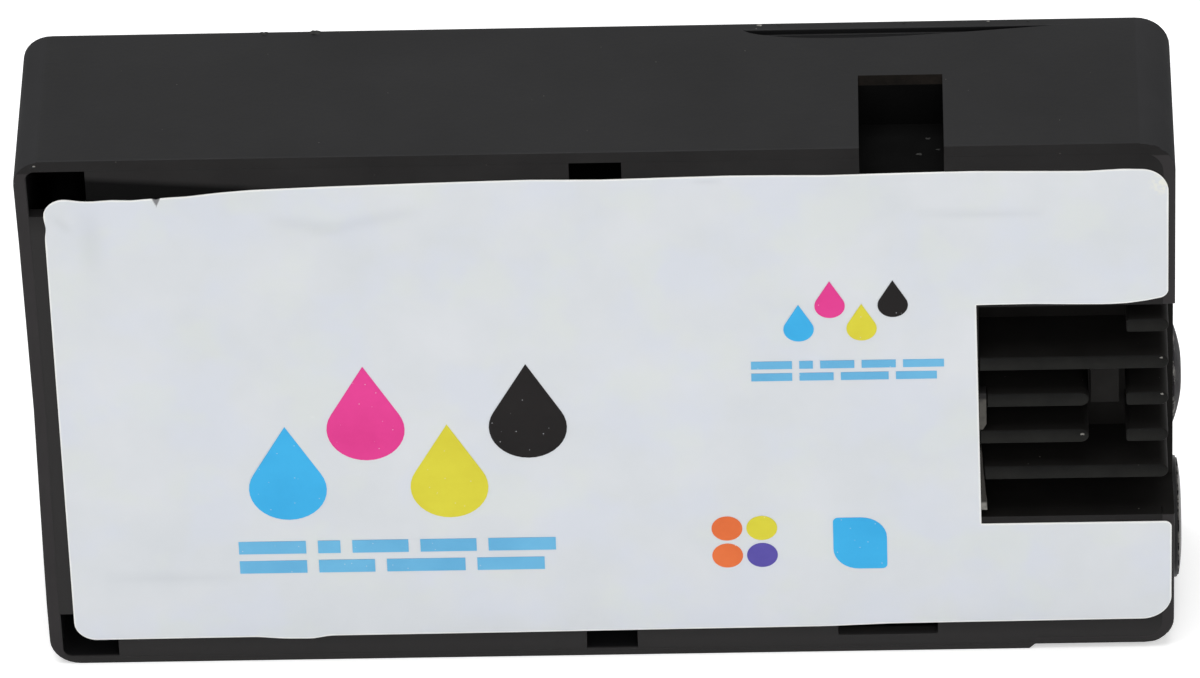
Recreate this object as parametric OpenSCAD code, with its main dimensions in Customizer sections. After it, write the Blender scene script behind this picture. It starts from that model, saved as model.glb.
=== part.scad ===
// Inkjet ink cartridge, standing on its long narrow side as it does in use.
// +X points to the port end, the labelled face looks to -Y and +Z is up.
// The bottom is at z = 0 and the middle of the outer box is at x = 0, y = 0.

/* [Housing] */
// Length of the moulded housing, grip end to port end
case_l = 113.65; // [108:0.05:130]
// Height of the housing as it stands
case_h = 64; // [62:0.5:76]
// Thickness of the housing, rim to back
case_t = 21; // [20.5:0.5:28]
// Thickness of the outer walls
wall = 1.2; // [1:0.1:1.5]
// Thickness of the bottom wall
floor_t = 0.9; // [0.8:0.1:1.5]
// Radius of the two corners at the grip end
grip_r = 3; // [2:0.5:5]
// Radius of the rim's inside corners at the grip end
rim_r = 1; // [0.6:0.1:1.8]
// Radius of the upper corner at the port end
crown_r = 3.5; // [3:0.5:6]
// Radius of the lower corner at the port end
foot_r = 3; // [2:0.5:4]
// Radius along the back edges
back_r = 0.5; // [0.3:0.1:1.4]
// Length of the raised stretch of the bottom, from the port end
step_l = 14.6; // [8:0.1:18]
// Rise of that stretch
step_h = 0.6; // [0.3:0.1:1]

/* [Latch pocket in the top] */
// Distance of the pocket from the port end
pocket_end = 22.65; // [22:0.05:30]
// Length of the pocket along the cartridge
pocket_l = 8.3; // [6:0.1:12]
// Reach of the pocket in from the labelled face
pocket_w = 11.1; // [8:0.1:14]
// Depth of the pocket below the top
pocket_h = 5.6; // [2.5:0.1:6]
// Slanted edge at the back of the pocket
pocket_lead = 0.7; // [0.2:0.1:1]

/* [Finger scoop in the top] */
// Distance of the scoop from the port end
scoop_end = 12; // [8:0.1:20]
// Length of the scoop
scoop_l = 30.2; // [20:0.1:36]
// Width of the scoop where it is widest
scoop_w = 1.5; // [0.8:0.05:2]
// Where it is widest, as a share of its length from the grip end's side
scoop_peak = 0.33; // [0.25:0.01:0.5]
// Thickness of the lip left behind the scoop
scoop_lip = 1.36; // [1:0.01:2]
// Depth of the scoop
scoop_h = 0.7; // [0.3:0.1:0.9]

/* [Key recess] */
// Length of the recess, which is open at the port end
recess_l = 19.45; // [16:0.05:22]
// Height of the floor of the recess over the bottom
recess_z = 17.3; // [16.5:0.1:20]
// Height of the recess
recess_h = 26.7; // [25:0.1:28]
// Depth of the recess behind the rim
recess_d = 6.6; // [5:0.1:6.8]
// Thickness of the key ribs
rib_t = 1.65; // [1:0.05:2]
// Spacing of the key ribs
rib_pitch = 4.62; // [4.2:0.01:4.8]
// Height of the lowest rib's middle over the recess floor
rib_first = 5.6; // [5:0.1:6.5]
// Number of ribs, the topmost one short
rib_n = 5; // [4:1:5]
// Distance of the ribs' outer ends from the port end
rib_end = 0.65; // [0.3:0.05:1.5]
// Length of the rib pieces between the gap and the port end
rib_tip_l = 4.2; // [3:0.1:6]
// Width of the gap that splits the two middle ribs
rib_gap = 3.7; // [2:0.1:5]
// How far the bridge in that gap stands back from the ribs' faces
pad_back = 0.6; // [0.2:0.1:3]
// Slit between the bridge and the ribs on its left
pad_slit = 0.2; // [0.1:0.1:1]
// Length of the bridge
pad_l = 2.8; // [1:0.1:3]

/* [Lid] */
// Thickness of the lid, which lies flush in the rim
lid_t = 1.3; // [0.9:0.1:1.5]
// Clearance round the lid
lid_gap = 0.06; // [0.04:0.01:0.2]
// Side of the two square notches at the grip end
notch = 5.6; // [3:0.1:6]
// Radius of the inner corners of those notches
notch_r = 0.5; // [0.2:0.1:1]
// Width of the two notches at mid length
mid_notch_w = 5.15; // [3:0.05:8]
// Reach of the notches at mid length in from the rim
mid_notch_h = 3.4; // [2:0.1:5]
// Distance of the slot in the lid's lower edge from the port end
slot_end = 23.85; // [22:0.05:30]
// Length of that slot
slot_l = 11.3; // [6:0.1:16]
// Height of that slot
slot_h = 3.2; // [1.5:0.1:4]
// Strip of the lid left under that slot
slot_lip = 1.3; // [0.5:0.1:1.5]
// Reach of the lid's two small tabs into the key recess
tab_w = 0.7; // [0.3:0.05:1]
// Height of the lower tab's foot over the recess floor
tab_foot = 0.9; // [0.4:0.1:3]
// Height of the lower tab's top over the recess floor
tab_mid = 8.5; // [7:0.1:9.2]
// Height of the upper tab's foot over the recess floor
tab_rise = 11.2; // [11:0.1:12]
// Height of the upper tab's top over the recess floor
tab_top = 15.8; // [15:0.1:17]

/* [Ink chamber] */
// Width of the dry space between the outer walls and the chamber
moat = 6.4; // [6.2:0.1:7]
// Thickness of the chamber's weld rib
rib_w = 1.5; // [1:0.1:2]
// Corner radius of the chamber, outside
chamber_r = 4; // [2.5:0.5:6]
// Space between the lid and the chamber film
film_gap = 1.2; // [0.6:0.1:2]
// Thickness of the chamber film
film_t = 0.1; // [0.05:0.01:0.2]
// Clearance round the ink sponge
sponge_gap = 0.3; // [0.1:0.1:1]
// Radius of the posts that carry the lid
post_r = 1.6; // [1.2:0.1:2]
// Spacing of the posts along the cartridge
post_pitch = 42; // [30:1:44]
// Height of the lower post at the grip end
post_foot = 14; // [12:1:20]
// Distance of the upper post at the grip end from the top
post_head = 11; // [9:1:12]
// Distance of the chamber's vent from the port end
vent_end = 50; // [48:0.5:52]
// Radius of the vent hole
vent_r = 1; // [0.6:0.1:1.4]
// Radius of the vent membrane
membrane_r = 2.6; // [2:0.1:3]
// Thickness of the vent membrane
membrane_t = 0.3; // [0.1:0.05:0.5]
// Distance of the filling hole from the top
fill_drop = 18; // [17:1:24]
// Radius of the filling hole
fill_r = 1.9; // [1.2:0.1:2.2]
// Wall of the boss round the filling hole
fill_wall = 1.4; // [1:0.1:2]
// Length of that boss outside the chamber
fill_l = 1.5; // [0.5:0.1:2]
// Thickness of the filling plug's flange
flange_t = 1; // [0.5:0.1:1.5]
// Reach of the flange past the hole
flange_lip = 0.9; // [0.5:0.1:1.4]

/* [Ink outlet] */
// Height of the outlet's axis
outlet_z = 8.5; // [8:0.1:9]
// Distance of the outlet's axis behind the rim
outlet_y = 10.5; // [9.5:0.1:11.5]
// Outer radius of the outlet's barrel
outlet_r = 6.2; // [5.8:0.1:6.4]
// Radius of the outlet's bore
outlet_bore_r = 4.4; // [4:0.1:4.6]
// How far the outlet's barrel stands out from the end face
port_proud = 0.5; // [0.3:0.1:1.2]
// Depth of the outlet's bore from its mouth
outlet_d = 15.4; // [14:0.1:16]
// Length in the bore of the ring that holds the seal
cap_t = 1; // [0.6:0.1:1.4]
// How far the ring's domed face stands out of the barrel
cap_dome = 0.45; // [0.25:0.05:0.8]
// Thickness of both domed flanges at their edge
dome_edge = 0.15; // [0.1:0.05:0.2]
// Distance of the ring's edge from the barrel's
cap_back = 0.25; // [0.1:0.05:0.6]
// Radius of the ring's opening beyond the needle hole
cap_open = 1.2; // [0.8:0.1:1.4]
// Thickness of the outlet seal
seal_t = 3.5; // [2.5:0.1:4]
// Radius of the needle hole in the seal
needle_r = 1.4; // [1:0.1:1.6]
// Clearance between the bore and what is pressed into it
press_gap = 0.05; // [0.03:0.01:0.1]
// Clearance between the bore and the valve plunger
slide_gap = 0.08; // [0.05:0.01:0.1]
// Thickness of the plunger's head
head_t = 1.25; // [0.8:0.05:2]
// Travel of the plunger when the needle enters
travel = 2.5; // [1.5:0.1:3]
// Radius of the plunger's stem
stem_r = 1.6; // [1.2:0.1:1.8]
// Space left between the stem and the filter when the plunger is pushed in
stem_stop = 1.6; // [1:0.1:2.5]
// Wire radius of the valve spring
wire_r = 0.2; // [0.12:0.01:0.25]
// Mean radius of the valve spring
coil_r = 2.5; // [2.2:0.05:2.8]
// Turns of the valve spring
coil_n = 6; // [4:1:8]
// Thickness of the filter disc
filter_t = 0.5; // [0.3:0.1:1]
// Radius of the duct's hole into the chamber
duct_r = 1.4; // [1:0.1:1.5]
// Rise of the duct over the outlet's axis
duct_rise = 2.2; // [1.8:0.1:2.5]
// Wall round the duct
duct_wall = 1.6; // [1:0.1:2]
// Wall at the inner end of both ports' barrels
barrel_wall = 1.8; // [1.2:0.1:2.4]

/* [Air port] */
// Height of the air port's axis
air_z = 25; // [24:0.1:27]
// Distance of the air port's axis behind the rim
air_y = 13.5; // [13:0.1:14]
// Outer radius of the air port's barrel and of the air seal's flange
air_r = 5.15; // [4.6:0.05:5.2]
// Radius of the air port's bore
air_bore_r = 3.3; // [2.6:0.1:3.6]
// Depth of the air port's bore from its mouth
air_d = 10; // [8:0.1:12]
// Length of the air seal
air_seal_l = 6; // [4:0.1:7]
// Radius of the hole in the air seal
air_hole_r = 0.8; // [0.5:0.1:1.2]
// How far the air seal's domed flange stands out from the end face
air_dome = 1; // [0.4:0.05:1.2]
// Radius of the flat round the holes of both ports
dome_flat = 0.6; // [0.3:0.1:1]

/* [Chip] */
// Height of the chip's middle over the key recess
chip_rise = 8; // [7.5:0.1:9]
// Width of the chip board across the end face
chip_w = 10.3; // [8:0.1:12]
// Height of the chip board
chip_h = 11.3; // [9:0.1:12]
// Thickness of the chip board
chip_t = 0.8; // [0.6:0.1:1]
// Depth of the pocket that the board lies in
chip_d = 0.9; // [0.9:0.05:1.2]
// Clearance round the board
chip_gap = 0.15; // [0.1:0.05:0.4]
// Number of contact strips
contact_n = 4; // [2:1:5]
// Thickness of the contact strips
contact_t = 0.05; // [0.03:0.01:0.1]
// Radius of the two stakes that hold the board
stake_r = 0.5; // [0.4:0.05:0.6]
// Distance of the stakes from the board's upper and lower edge
stake_in = 1.1; // [1:0.1:1.5]
// Height of the stakes' heads
stake_head = 0.2; // [0.1:0.05:0.3]
// Radius of the resin drop behind the board
glob_r = 2.3; // [1.5:0.1:2.8]
// Height of the resin drop
glob_h = 0.6; // [0.3:0.1:1]
// Wall behind the chip
seat_wall = 1.2; // [0.8:0.1:1.6]

/* [Label] */
// Thickness of the label
label_t = 0.14; // [0.1:0.01:0.25]
// Thickness of the print
print_t = 0.04; // [0.02:0.01:0.08]
// Gap between the label and the grip end, at the top
label_left = 2.65; // [1.5:0.05:5]
// Gap between the label and the port end
label_right = 0.3; // [0.1:0.05:2]
// How much further that gap is over the key recess
label_skew = 0.4; // [0:0.1:1]
// Gap over the label at the grip end
label_top_grip = 4.8; // [3.4:0.1:6]
// Gap over the label at the port end
label_top_port = 3.1; // [2:0.1:6]
// Gap under the label at the grip end
label_foot_grip = 3.22; // [2:0.01:5]
// Gap under the label at the port end
label_foot_port = 3.8; // [1.9:0.1:5]
// Rise of the upper edge's middle over a straight line
label_bow = 0.75; // [0:0.05:1]
// Margin of the label under the key recess
label_margin = 0.9; // [0.2:0.05:2]
// How much the side of the label's cut-out leans over its height
label_lean = 0.3; // [0:0.05:0.6]
// Angle of the cut-out's upper edge at the port end
label_flare = 15; // [0:1:25]
// Length of that slanted edge
flare_l = 6; // [2:0.5:10]
// Radius of the label's upper corner at the grip end
label_grip_r = 1.6; // [0.5:0.1:4]
// Radius of the label's lower corner at the grip end
label_foot_r = 2.1; // [0.5:0.1:4]
// Radius of the label's upper corner at the port end
label_top_r = 2.8; // [0.5:0.1:5]
// Radius of the label's lower corner at the port end
label_port_r = 3; // [0.5:0.1:5]
// Radius of the label's corner under the key recess
label_tab_r = 0.7; // [0.2:0.1:2]

/* [Artwork] */
// Left end of the large drops
art_x = 21; // [16:0.5:24]
// Height of the large drops' foot
art_z = 18.5; // [17.5:0.5:24]
// Radius of a large drop
drop_r = 3.9; // [3:0.1:4]
// Spacing of the large drops
drop_pitch = 8.1; // [8.05:0.05:8.5]
// How far every second large drop stands higher
drop_lift = 7.5; // [3:0.5:9]
// Left end of the small drops
small_x = 74.9; // [72:0.1:78]
// Height of the small drops' foot
small_z = 40.2; // [39:0.1:42]
// Size of the small drops beside the large ones
small_k = 0.385; // [0.3:0.005:0.45]
// Left end of the large lines of bars
line_x = 19.6; // [17:0.1:24]
// Height of the upper large line's foot
line_z = 14.1; // [13:0.1:15]
// Drop from one large line to the next
line_drop = 2.5; // [2:0.1:3]
// Height of a large bar
bar_h = 1.6; // [1:0.1:1.8]
// Length of a large bar for each unit of its word
bar_unit = 1.13; // [0.8:0.01:1.3]
// Space between two large bars
bar_space = 1.2; // [0.6:0.1:1.6]
// Size of the small bars beside the large ones
bar_k = 0.6; // [0.4:0.05:0.65]
// Left end of the small lines of bars
small_line_x = 71.6; // [68:0.1:74]
// Height of the upper small line's foot
small_line_z = 36.75; // [36:0.05:38]
// Left end of the multicoloured dots
dots_x = 67.2; // [60:0.1:70]
// Height of the dots' foot
dots_z = 11.4; // [10:0.1:13]
// Radius of one dot
dot_r = 1.55; // [1:0.05:1.7]
// Spacing of the dots
dot_pitch = 3.5; // [3.45:0.05:4.5]
// Left end of the cyan mark
mark_x = 79.4; // [76:0.1:82]
// Height of the mark's foot
mark_z = 11; // [9:0.1:13]
// Width of the mark
mark_w = 5.4; // [4:0.1:7]
// Height of the mark
mark_h = 6.6; // [5:0.1:8]
// Large radius of the mark
mark_r = 2.6; // [1:0.1:2.7]

/* [Hidden] */
$fn = 64;

// Placement of the outer box over the origin
grip_x = -(case_l + max(port_proud + cap_dome, air_dome)) / 2;
front_y = -(case_t - label_t - print_t) / 2;

// Planes of the housing, from the grip end, the rim and the bottom
step_x = case_l - step_l;
recess_x = case_l - recess_l;
recess_top = recess_z + recess_h;
pocket_x = case_l - pocket_end - pocket_l;
pocket_z = case_h - pocket_h;
inner_back = case_t - wall;
film_y = lid_t + film_gap + film_t;
inset = wall + moat;
chamber_x = recess_x - wall + 0.2;
duct_z = outlet_z + duct_rise;
mouth_x = case_l + port_proud;
vent_x = case_l - vent_end;
fill_z = case_h - fill_drop;
chip_z = recess_top + chip_rise;

// Stations along the ink outlet, from the mouth inwards
cap_x = mouth_x - cap_t;
seal_x = cap_x - seal_t;
head_x = seal_x - press_gap;
head_back = head_x - head_t;
outlet_floor = mouth_x - outlet_d;
filter_x = outlet_floor + filter_t;
stem_l = head_back - filter_x - travel - stem_stop;

// Stations along the air port and on the chip's seat
air_floor = case_l - air_d;
seat_x = case_l - chip_d;
board_x = seat_x + chip_t;
chip_y = case_t / 2;
stake_z = chip_h / 2 - stake_in;

// Words of the two lines of print, as lengths in units
words = [[6, 2, 5, 5, 6], [6, 5, 7, 6]];

// Points of an arc from angle a to angle b
function arc(c, r, a, b, n = 8) =
    [for (i = [0 : n]) c + r * [cos(a + (b - a) * i / n), sin(a + (b - a) * i / n)]];

// Rectangle with one radius for each corner, from the lower left one round
function rounded(lo, hi, r) = concat(
    arc(lo + [r[0], r[0]], r[0], 180, 270),
    arc([hi.x - r[1], lo.y + r[1]], r[1], 270, 360),
    arc(hi - [r[2], r[2]], r[2], 0, 90),
    arc([lo.x + r[3], hi.y - r[3]], r[3], 90, 180));

// Inside of the rim with clearance e, following the step in the bottom
function rim(e) =
    let (in = wall + rim_r, foot = floor_t + rim_r, low = foot_r + step_h, r = rim_r - e)
    concat(
        arc([in, foot], r, 180, 270),
        [[step_x, floor_t + e], [step_x + step_h, floor_t + step_h + e]],
        arc([case_l - foot_r, low + floor_t - wall], foot_r - wall - e, 270, 360),
        arc([case_l - crown_r, case_h - crown_r], crown_r - wall - e, 0, 90),
        arc([in, case_h - in], r, 90, 180));

// Outline of the ink chamber at a given inset from its outer face
function chamber(d) = rounded([inset + d, inset + d], [chamber_x - d, case_h - inset - d],
    (chamber_r - d) * [1, 1, 1, 1]);

// Moves the housing's own corner, at the grip end, rim and bottom, to its place
module placed() translate([grip_x, front_y, 0]) children();

// Extrudes an outline drawn on the labelled face from depth a to depth b
module prism(a, b) translate([0, b, 0]) rotate([90, 0, 0]) linear_extrude(b - a) children();

// Cylinder along the cartridge between two stations
module rod(a, b, y, z, r) translate([a, y, z]) rotate([0, 90, 0]) cylinder(h = b - a, r = r);

// Cuboid between two corners
module block(lo, hi) translate(lo) cube(hi - lo);

// One corner of the housing with its rounded back edge
module shell_corner(x, z, r) translate([x, 0, z]) rotate([-90, 0, 0])
    rotate_extrude($fn = 32) {
        square([r, case_t - back_r]);
        square([r - back_r, case_t]);
        translate([r - back_r, case_t - back_r]) intersection() {
            circle(back_r, $fn = 24);
            square(back_r);
        }
    }

// Outer form of the moulding, before anything is cut
module shell_form() hull() {
    shell_corner(grip_r, grip_r, grip_r);
    shell_corner(grip_r, case_h - grip_r, grip_r);
    shell_corner(case_l - crown_r, case_h - crown_r, crown_r);
    shell_corner(case_l - foot_r, foot_r, foot_r);
}

// Space under the raised stretch of the bottom
module step_cut() prism(-1, case_t + 1) polygon(concat(
    [[step_x, -1], [step_x, 0], [step_x + step_h, step_h]],
    arc([case_l - foot_r, foot_r + step_h], foot_r, 270, 360),
    [[case_l + 1, foot_r + step_h], [case_l + 1, -1]]));

// Square pocket for the latch, with a slanted edge at its back
module pocket_cut() translate([pocket_x, 0, 0]) rotate([90, 0, 90]) linear_extrude(pocket_l)
    polygon([[-1, pocket_z], [pocket_w, pocket_z], [pocket_w, case_h - pocket_lead],
        [pocket_w + pocket_lead, case_h], [pocket_w + pocket_lead, case_h + 1], [-1, case_h + 1]]);

// Shallow crescent in the top, straight at its lip and widest nearer to the grip end
module scoop_cut() {
    bend = ln(0.5) / ln(scoop_peak);
    steps = 48;
    translate([case_l - scoop_end - scoop_l, case_t - scoop_lip, case_h - scoop_h])
        linear_extrude(scoop_h + 1) polygon([for (i = [0 : steps]) let (u = i / steps)
            [scoop_l * u, i == 0 || i == steps ? 0 : -scoop_w * sin(180 * pow(u, bend))]]);
}

// Posts in the dry space that carry the lid
module lid_posts() prism(lid_t, case_t - wall / 2) {
    mid = wall + moat / 2;
    for (i = [0, 1], z = [mid, case_h - mid])
        translate([case_l / 2 - post_pitch * (i - 0.5) - 5, z]) circle(post_r);
    for (z = [post_foot, case_h - post_head]) translate([mid, z]) circle(post_r);
}

// Walls that close the latch pocket and the key recess off from the inside
module pocket_walls() block([pocket_x - wall, lid_t, pocket_z - wall],
    [pocket_x + pocket_l + wall, pocket_w + wall, case_h - wall / 2]);
module recess_walls() block([recess_x - wall, lid_t, recess_z - wall],
    [case_l - wall / 2, recess_d + wall, recess_top + wall]);

// Barrels of the two ports and the duct from the outlet to the chamber
module port_barrels() {
    rod(outlet_floor - barrel_wall, mouth_x, outlet_y, outlet_z, outlet_r);
    rod(chamber_x - rib_w / 2, outlet_floor - barrel_wall / 2, outlet_y, duct_z, duct_r + duct_wall);
    rod(air_floor - barrel_wall, case_l - wall / 2, air_y, air_z, air_r);
}
module port_bores() {
    rod(outlet_floor, mouth_x + 1, outlet_y, outlet_z, outlet_bore_r);
    rod(chamber_x - rib_w - 1, outlet_floor + 1, outlet_y, duct_z, duct_r);
    rod(air_floor, case_l + 1, air_y, air_z, air_bore_r);
    rod(air_floor - barrel_wall - 1, air_floor + 1, air_y, air_z, air_hole_r);
}

// Thicker wall behind the chip, its shallow seat and the hollow for the resin drop
module chip_pad() block([seat_x - glob_h - seat_wall, chip_y - chip_w / 2 - wall, chip_z - chip_h / 2 - wall],
    [case_l - wall / 2, chip_y + chip_w / 2 + wall, chip_z + chip_h / 2 + wall]);
module chip_seat() {
    block([seat_x, chip_y - chip_w / 2 - chip_gap, chip_z - chip_h / 2 - chip_gap],
        [case_l + 1, chip_y + chip_w / 2 + chip_gap, chip_z + chip_h / 2 + chip_gap]);
    rod(seat_x - glob_h - 0.2, seat_x + 0.5, chip_y, chip_z, glob_r + 0.2);
}
module chip_stakes() for (s = [-1, 1]) {
    rod(seat_x - 0.3, board_x + 0.05, chip_y, chip_z + s * stake_z, stake_r);
    rod(board_x, board_x + stake_head, chip_y, chip_z + s * stake_z, stake_r + 0.35);
}

// Key rib from station a to station b, rounded towards the port end
module rib_bar(a, b, z) {
    block([a, 0, z - rib_t / 2], [b - rib_t / 2, recess_d + wall / 2, z + rib_t / 2]);
    translate([b - rib_t / 2, 0, z]) rotate([-90, 0, 0])
        cylinder(h = recess_d + wall / 2, r = rib_t / 2);
}

// Space beside the recess's inner wall that the lid's tabs take, with clearance e. Corners
// are given from the foot of that wall.
module tab_space(e) translate([recess_x, recess_z]) {
    polygon([[-wall, tab_foot - e], [tab_w + e, tab_foot - e], [tab_w / 4 + e, tab_mid + e],
        [-wall, tab_mid + e]]);
    polygon([[-wall, tab_rise - e], [tab_w / 2 + e, tab_rise - e], [tab_w + e, tab_rise + tab_w - e],
        [tab_w + e, tab_top + e], [-wall, tab_top + e]]);
}

// All key ribs: full ones, the two split ones and a short one on top, with the bridge in
// the gap. Their inner ends leave room for the lid's edge and tabs.
module key_ribs() difference() {
    outer = case_l - rib_end;
    tip = outer - rib_tip_l;
    bridge_x = tip - rib_gap + pad_slit;
    bridge_z = recess_z + rib_first + 2 * rib_pitch;
    union() {
        for (i = [0 : rib_n - 1]) {
            z = recess_z + rib_first + i * rib_pitch;
            split = i == 1 || i == 2;
            if (i < 4) rib_bar(recess_x - wall / 2, split ? tip - rib_gap : outer, z);
            if (split || i == 4) rib_bar(tip, outer, z);
        }
        block([bridge_x, pad_back, bridge_z - rib_t / 2],
            [bridge_x + pad_l, recess_d + wall / 2, bridge_z + rib_pitch]);
    }
    block([recess_x - wall, -1, recess_z], [recess_x + lid_gap, lid_t, recess_top]);
    prism(-1, lid_t) tab_space(2 * lid_gap);
}

module housing() color([0.19, 0.19, 0.2]) placed() {
    difference() {
        union() {
            difference() {
                shell_form();
                prism(-1, inner_back) polygon(rim(0));
            }
            prism(film_y, case_t - wall / 2) polygon(chamber(0));
            lid_posts();
            pocket_walls();
            recess_walls();
            port_barrels();
            chip_pad();
            rod(inset - fill_l, inset + rib_w / 2, case_t / 2, fill_z, fill_r + fill_wall);
        }
        step_cut();
        prism(film_y - 1, inner_back) polygon(chamber(rib_w));
        pocket_cut();
        scoop_cut();
        block([recess_x, -1, recess_z], [case_l + 1, recess_d, recess_top]);
        port_bores();
        chip_seat();
        rod(inset - fill_l - 1, inset + rib_w + 1, case_t / 2, fill_z, fill_r);
        translate([vent_x, case_t / 2, case_h - inset - rib_w - 1]) cylinder(h = rib_w + 2, r = vent_r);
    }
    key_ribs();
    chip_stakes();
}

// Flat lid in the rim, cut away at the pocket, the key recess and its own notches
module side_cover() color([0.17, 0.17, 0.17]) placed() {
    lid_plate();
    prism(0, lid_t) difference() {
        tab_space(0);
        translate([0, recess_z]) square([recess_x, recess_h]);
    }
}
module lid_plate() difference() {
    prism(0, lid_t) polygon(rim(lid_gap));
    lid_hole([-notch_r, -notch_r], [wall + notch, floor_t + notch], notch_r);
    lid_hole([-notch_r, case_h - wall - notch], [wall + notch, case_h + notch_r], notch_r);
    lid_hole([(case_l - mid_notch_w) / 2, -1],
        [(case_l + mid_notch_w) / 2, floor_t + mid_notch_h], notch_r / 2);
    lid_hole([(case_l - mid_notch_w) / 2, case_h - wall - mid_notch_h],
        [(case_l + mid_notch_w) / 2, case_h + 1], notch_r / 2);
    lid_hole([case_l - slot_end - slot_l, floor_t + slot_lip],
        [case_l - slot_end, floor_t + slot_lip + slot_h], notch_r / 2);
    block([pocket_x, -1, pocket_z], [pocket_x + pocket_l, lid_t + 1, case_h]);
    block([recess_x, -1, recess_z], [case_l + 1, lid_t + 1, recess_top]);
}
module lid_hole(lo, hi, r) prism(-1, lid_t + 1) polygon(rounded(lo, hi, r * [1, 1, 1, 1]));

// Outline of the label, with its cut-out round the key recess
function label_outline() =
    let (right = case_l - label_right,
        lobe = right - label_skew,
        top = case_h - label_top_port,
        cut_lo = recess_z - label_margin,
        flare_x = lobe - flare_l)
    concat(
        arc([label_left, label_foot_grip] + label_foot_r * [1, 1], label_foot_r, 180, 270),
        arc([right - label_port_r, label_foot_port + label_port_r], label_port_r, 270, 360),
        arc([right, cut_lo] - label_tab_r * [1, 1], label_tab_r, 0, 90, 4),
        [[recess_x + label_lean / 3, cut_lo], [recess_x - label_lean * 2 / 3, recess_top],
            [flare_x, recess_top], [lobe, recess_top + flare_l * tan(label_flare)]],
        arc([lobe, top] - label_top_r * [1, 1], label_top_r, 0, 90),
        [[case_l / 2, case_h - (label_top_port + label_top_grip) / 2 + label_bow]],
        arc([label_left + label_grip_r, case_h - label_top_grip - label_grip_r],
            label_grip_r, 90, 180));

module label() color([0.85, 0.87, 0.89]) placed()
    prism(-label_t, 0) polygon(label_outline());

// Lays a printed outline on the label
module printed() placed() prism(-label_t - print_t, -label_t) children();

// One ink drop with its foot at the origin, its tip straight over its round
module drop(r) polygon(concat(arc([0, r], r, 150, 390, 24), [[0, 3.05 * r]]));

// Place of drop number i in a row that steps up and down
module drop_at(i, x, z, k) translate([x + k * (drop_r + i * drop_pitch), z + k * drop_lift * (i % 2)])
    drop(k * drop_r);

// Drop number i of the large row and of the small row
module drop_pair(i) {
    drop_at(i, art_x, art_z, 1);
    drop_at(i, small_x, small_z, small_k);
}

// Dot in column i and row j
module dot(i, j) translate([dots_x + dot_r + i * dot_pitch, dots_z + dot_r + j * dot_pitch])
    circle(dot_r);

// Start of bar number i in a line of bars with a space between each two
function bar_start(v, i) = i == 0 ? 0 : bar_start(v, i - 1) + v[i - 1] * bar_unit + bar_space;

// Both lines of bars, at their place and size
module lines(x, z, k) for (n = [0, 1], i = [0 : len(words[n]) - 1])
    translate([x + k * bar_start(words[n], i), z - k * n * line_drop])
        square([k * bar_unit * words[n][i], k * bar_h]);

module print_cyan() color([0.24, 0.71, 0.92]) printed() {
    drop_pair(0);
    polygon(rounded([mark_x, mark_z], [mark_x + mark_w, mark_z + mark_h],
        mark_r * [1, 0.2, 1, 0.2]));
}

module print_magenta() color([0.91, 0.24, 0.58]) printed() drop_pair(1);

module print_yellow() color([0.87, 0.84, 0.24]) printed() {
    drop_pair(2);
    dot(1, 1);
}

module print_black() color([0.17, 0.16, 0.16]) printed() drop_pair(3);

module print_blue() color([0.43, 0.72, 0.88]) printed() {
    lines(line_x, line_z, 1);
    lines(small_line_x, small_line_z, bar_k);
}

module print_orange() color([0.91, 0.45, 0.24]) printed() {
    dot(0, 1);
    dot(0, 0);
}

module print_violet() color([0.36, 0.31, 0.66]) printed() dot(1, 0);

// Film welded on the chamber's rib
module chamber_film() color([0.8, 0.82, 0.84, 0.6]) placed()
    prism(film_y - film_t, film_y) polygon(chamber(0.3));

// Sponge that fills the chamber and holds the ink
module ink_sponge() color([0.2, 0.55, 0.75]) placed()
    prism(film_y + sponge_gap, inner_back - sponge_gap) polygon(chamber(rib_w + sponge_gap));

// Soft ring that closes round the needle
module outlet_seal() color([0.82, 0.83, 0.82]) placed() difference() {
    rod(seal_x, cap_x, outlet_y, outlet_z, outlet_bore_r - press_gap);
    rod(seal_x - 1, cap_x + 1, outlet_y, outlet_z, needle_r);
}

// Low dome from radius a to radius b, h high at a, as a profile's points from the edge inwards
function dome(a, b, h) = [for (i = [0 : 8]) let (u = 1 - i / 8)
    [a + (b - a) * u, dome_edge + (h - dome_edge) * (1 - pow(u, 1.6))]];

// Collar turned about a port's axis, with its profile given as radius and height
module collar(x, y, z, points) translate([x, y, z]) rotate([0, 90, 0]) rotate_extrude()
    polygon(points);

// Hard ring with a domed face that holds the seal in the outlet's mouth
module seal_cap() color([0.12, 0.12, 0.13]) placed() {
    open = needle_r + cap_open;
    neck = outlet_bore_r - press_gap;
    collar(mouth_x, outlet_y, outlet_z, concat(
        [[open, -cap_t], [neck, -cap_t], [neck, 0], [outlet_r - cap_back, 0]],
        dome(open + dome_flat, outlet_r - cap_back, cap_dome), [[open, cap_dome]]));
}

// Plunger that closes the seal, with four flow notches round its head
module valve_plunger() color([0.9, 0.9, 0.88]) placed() {
    difference() {
        rod(head_back, head_x, outlet_y, outlet_z, outlet_bore_r - slide_gap);
        for (a = [45 : 90 : 315]) translate([0, outlet_y, outlet_z]) rotate([a, 0, 0])
            rod(head_back - 1, head_x + 1, outlet_bore_r, 0, 0.9);
    }
    rod(head_back - stem_l, head_back + head_t / 2, outlet_y, outlet_z, stem_r);
}

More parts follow.
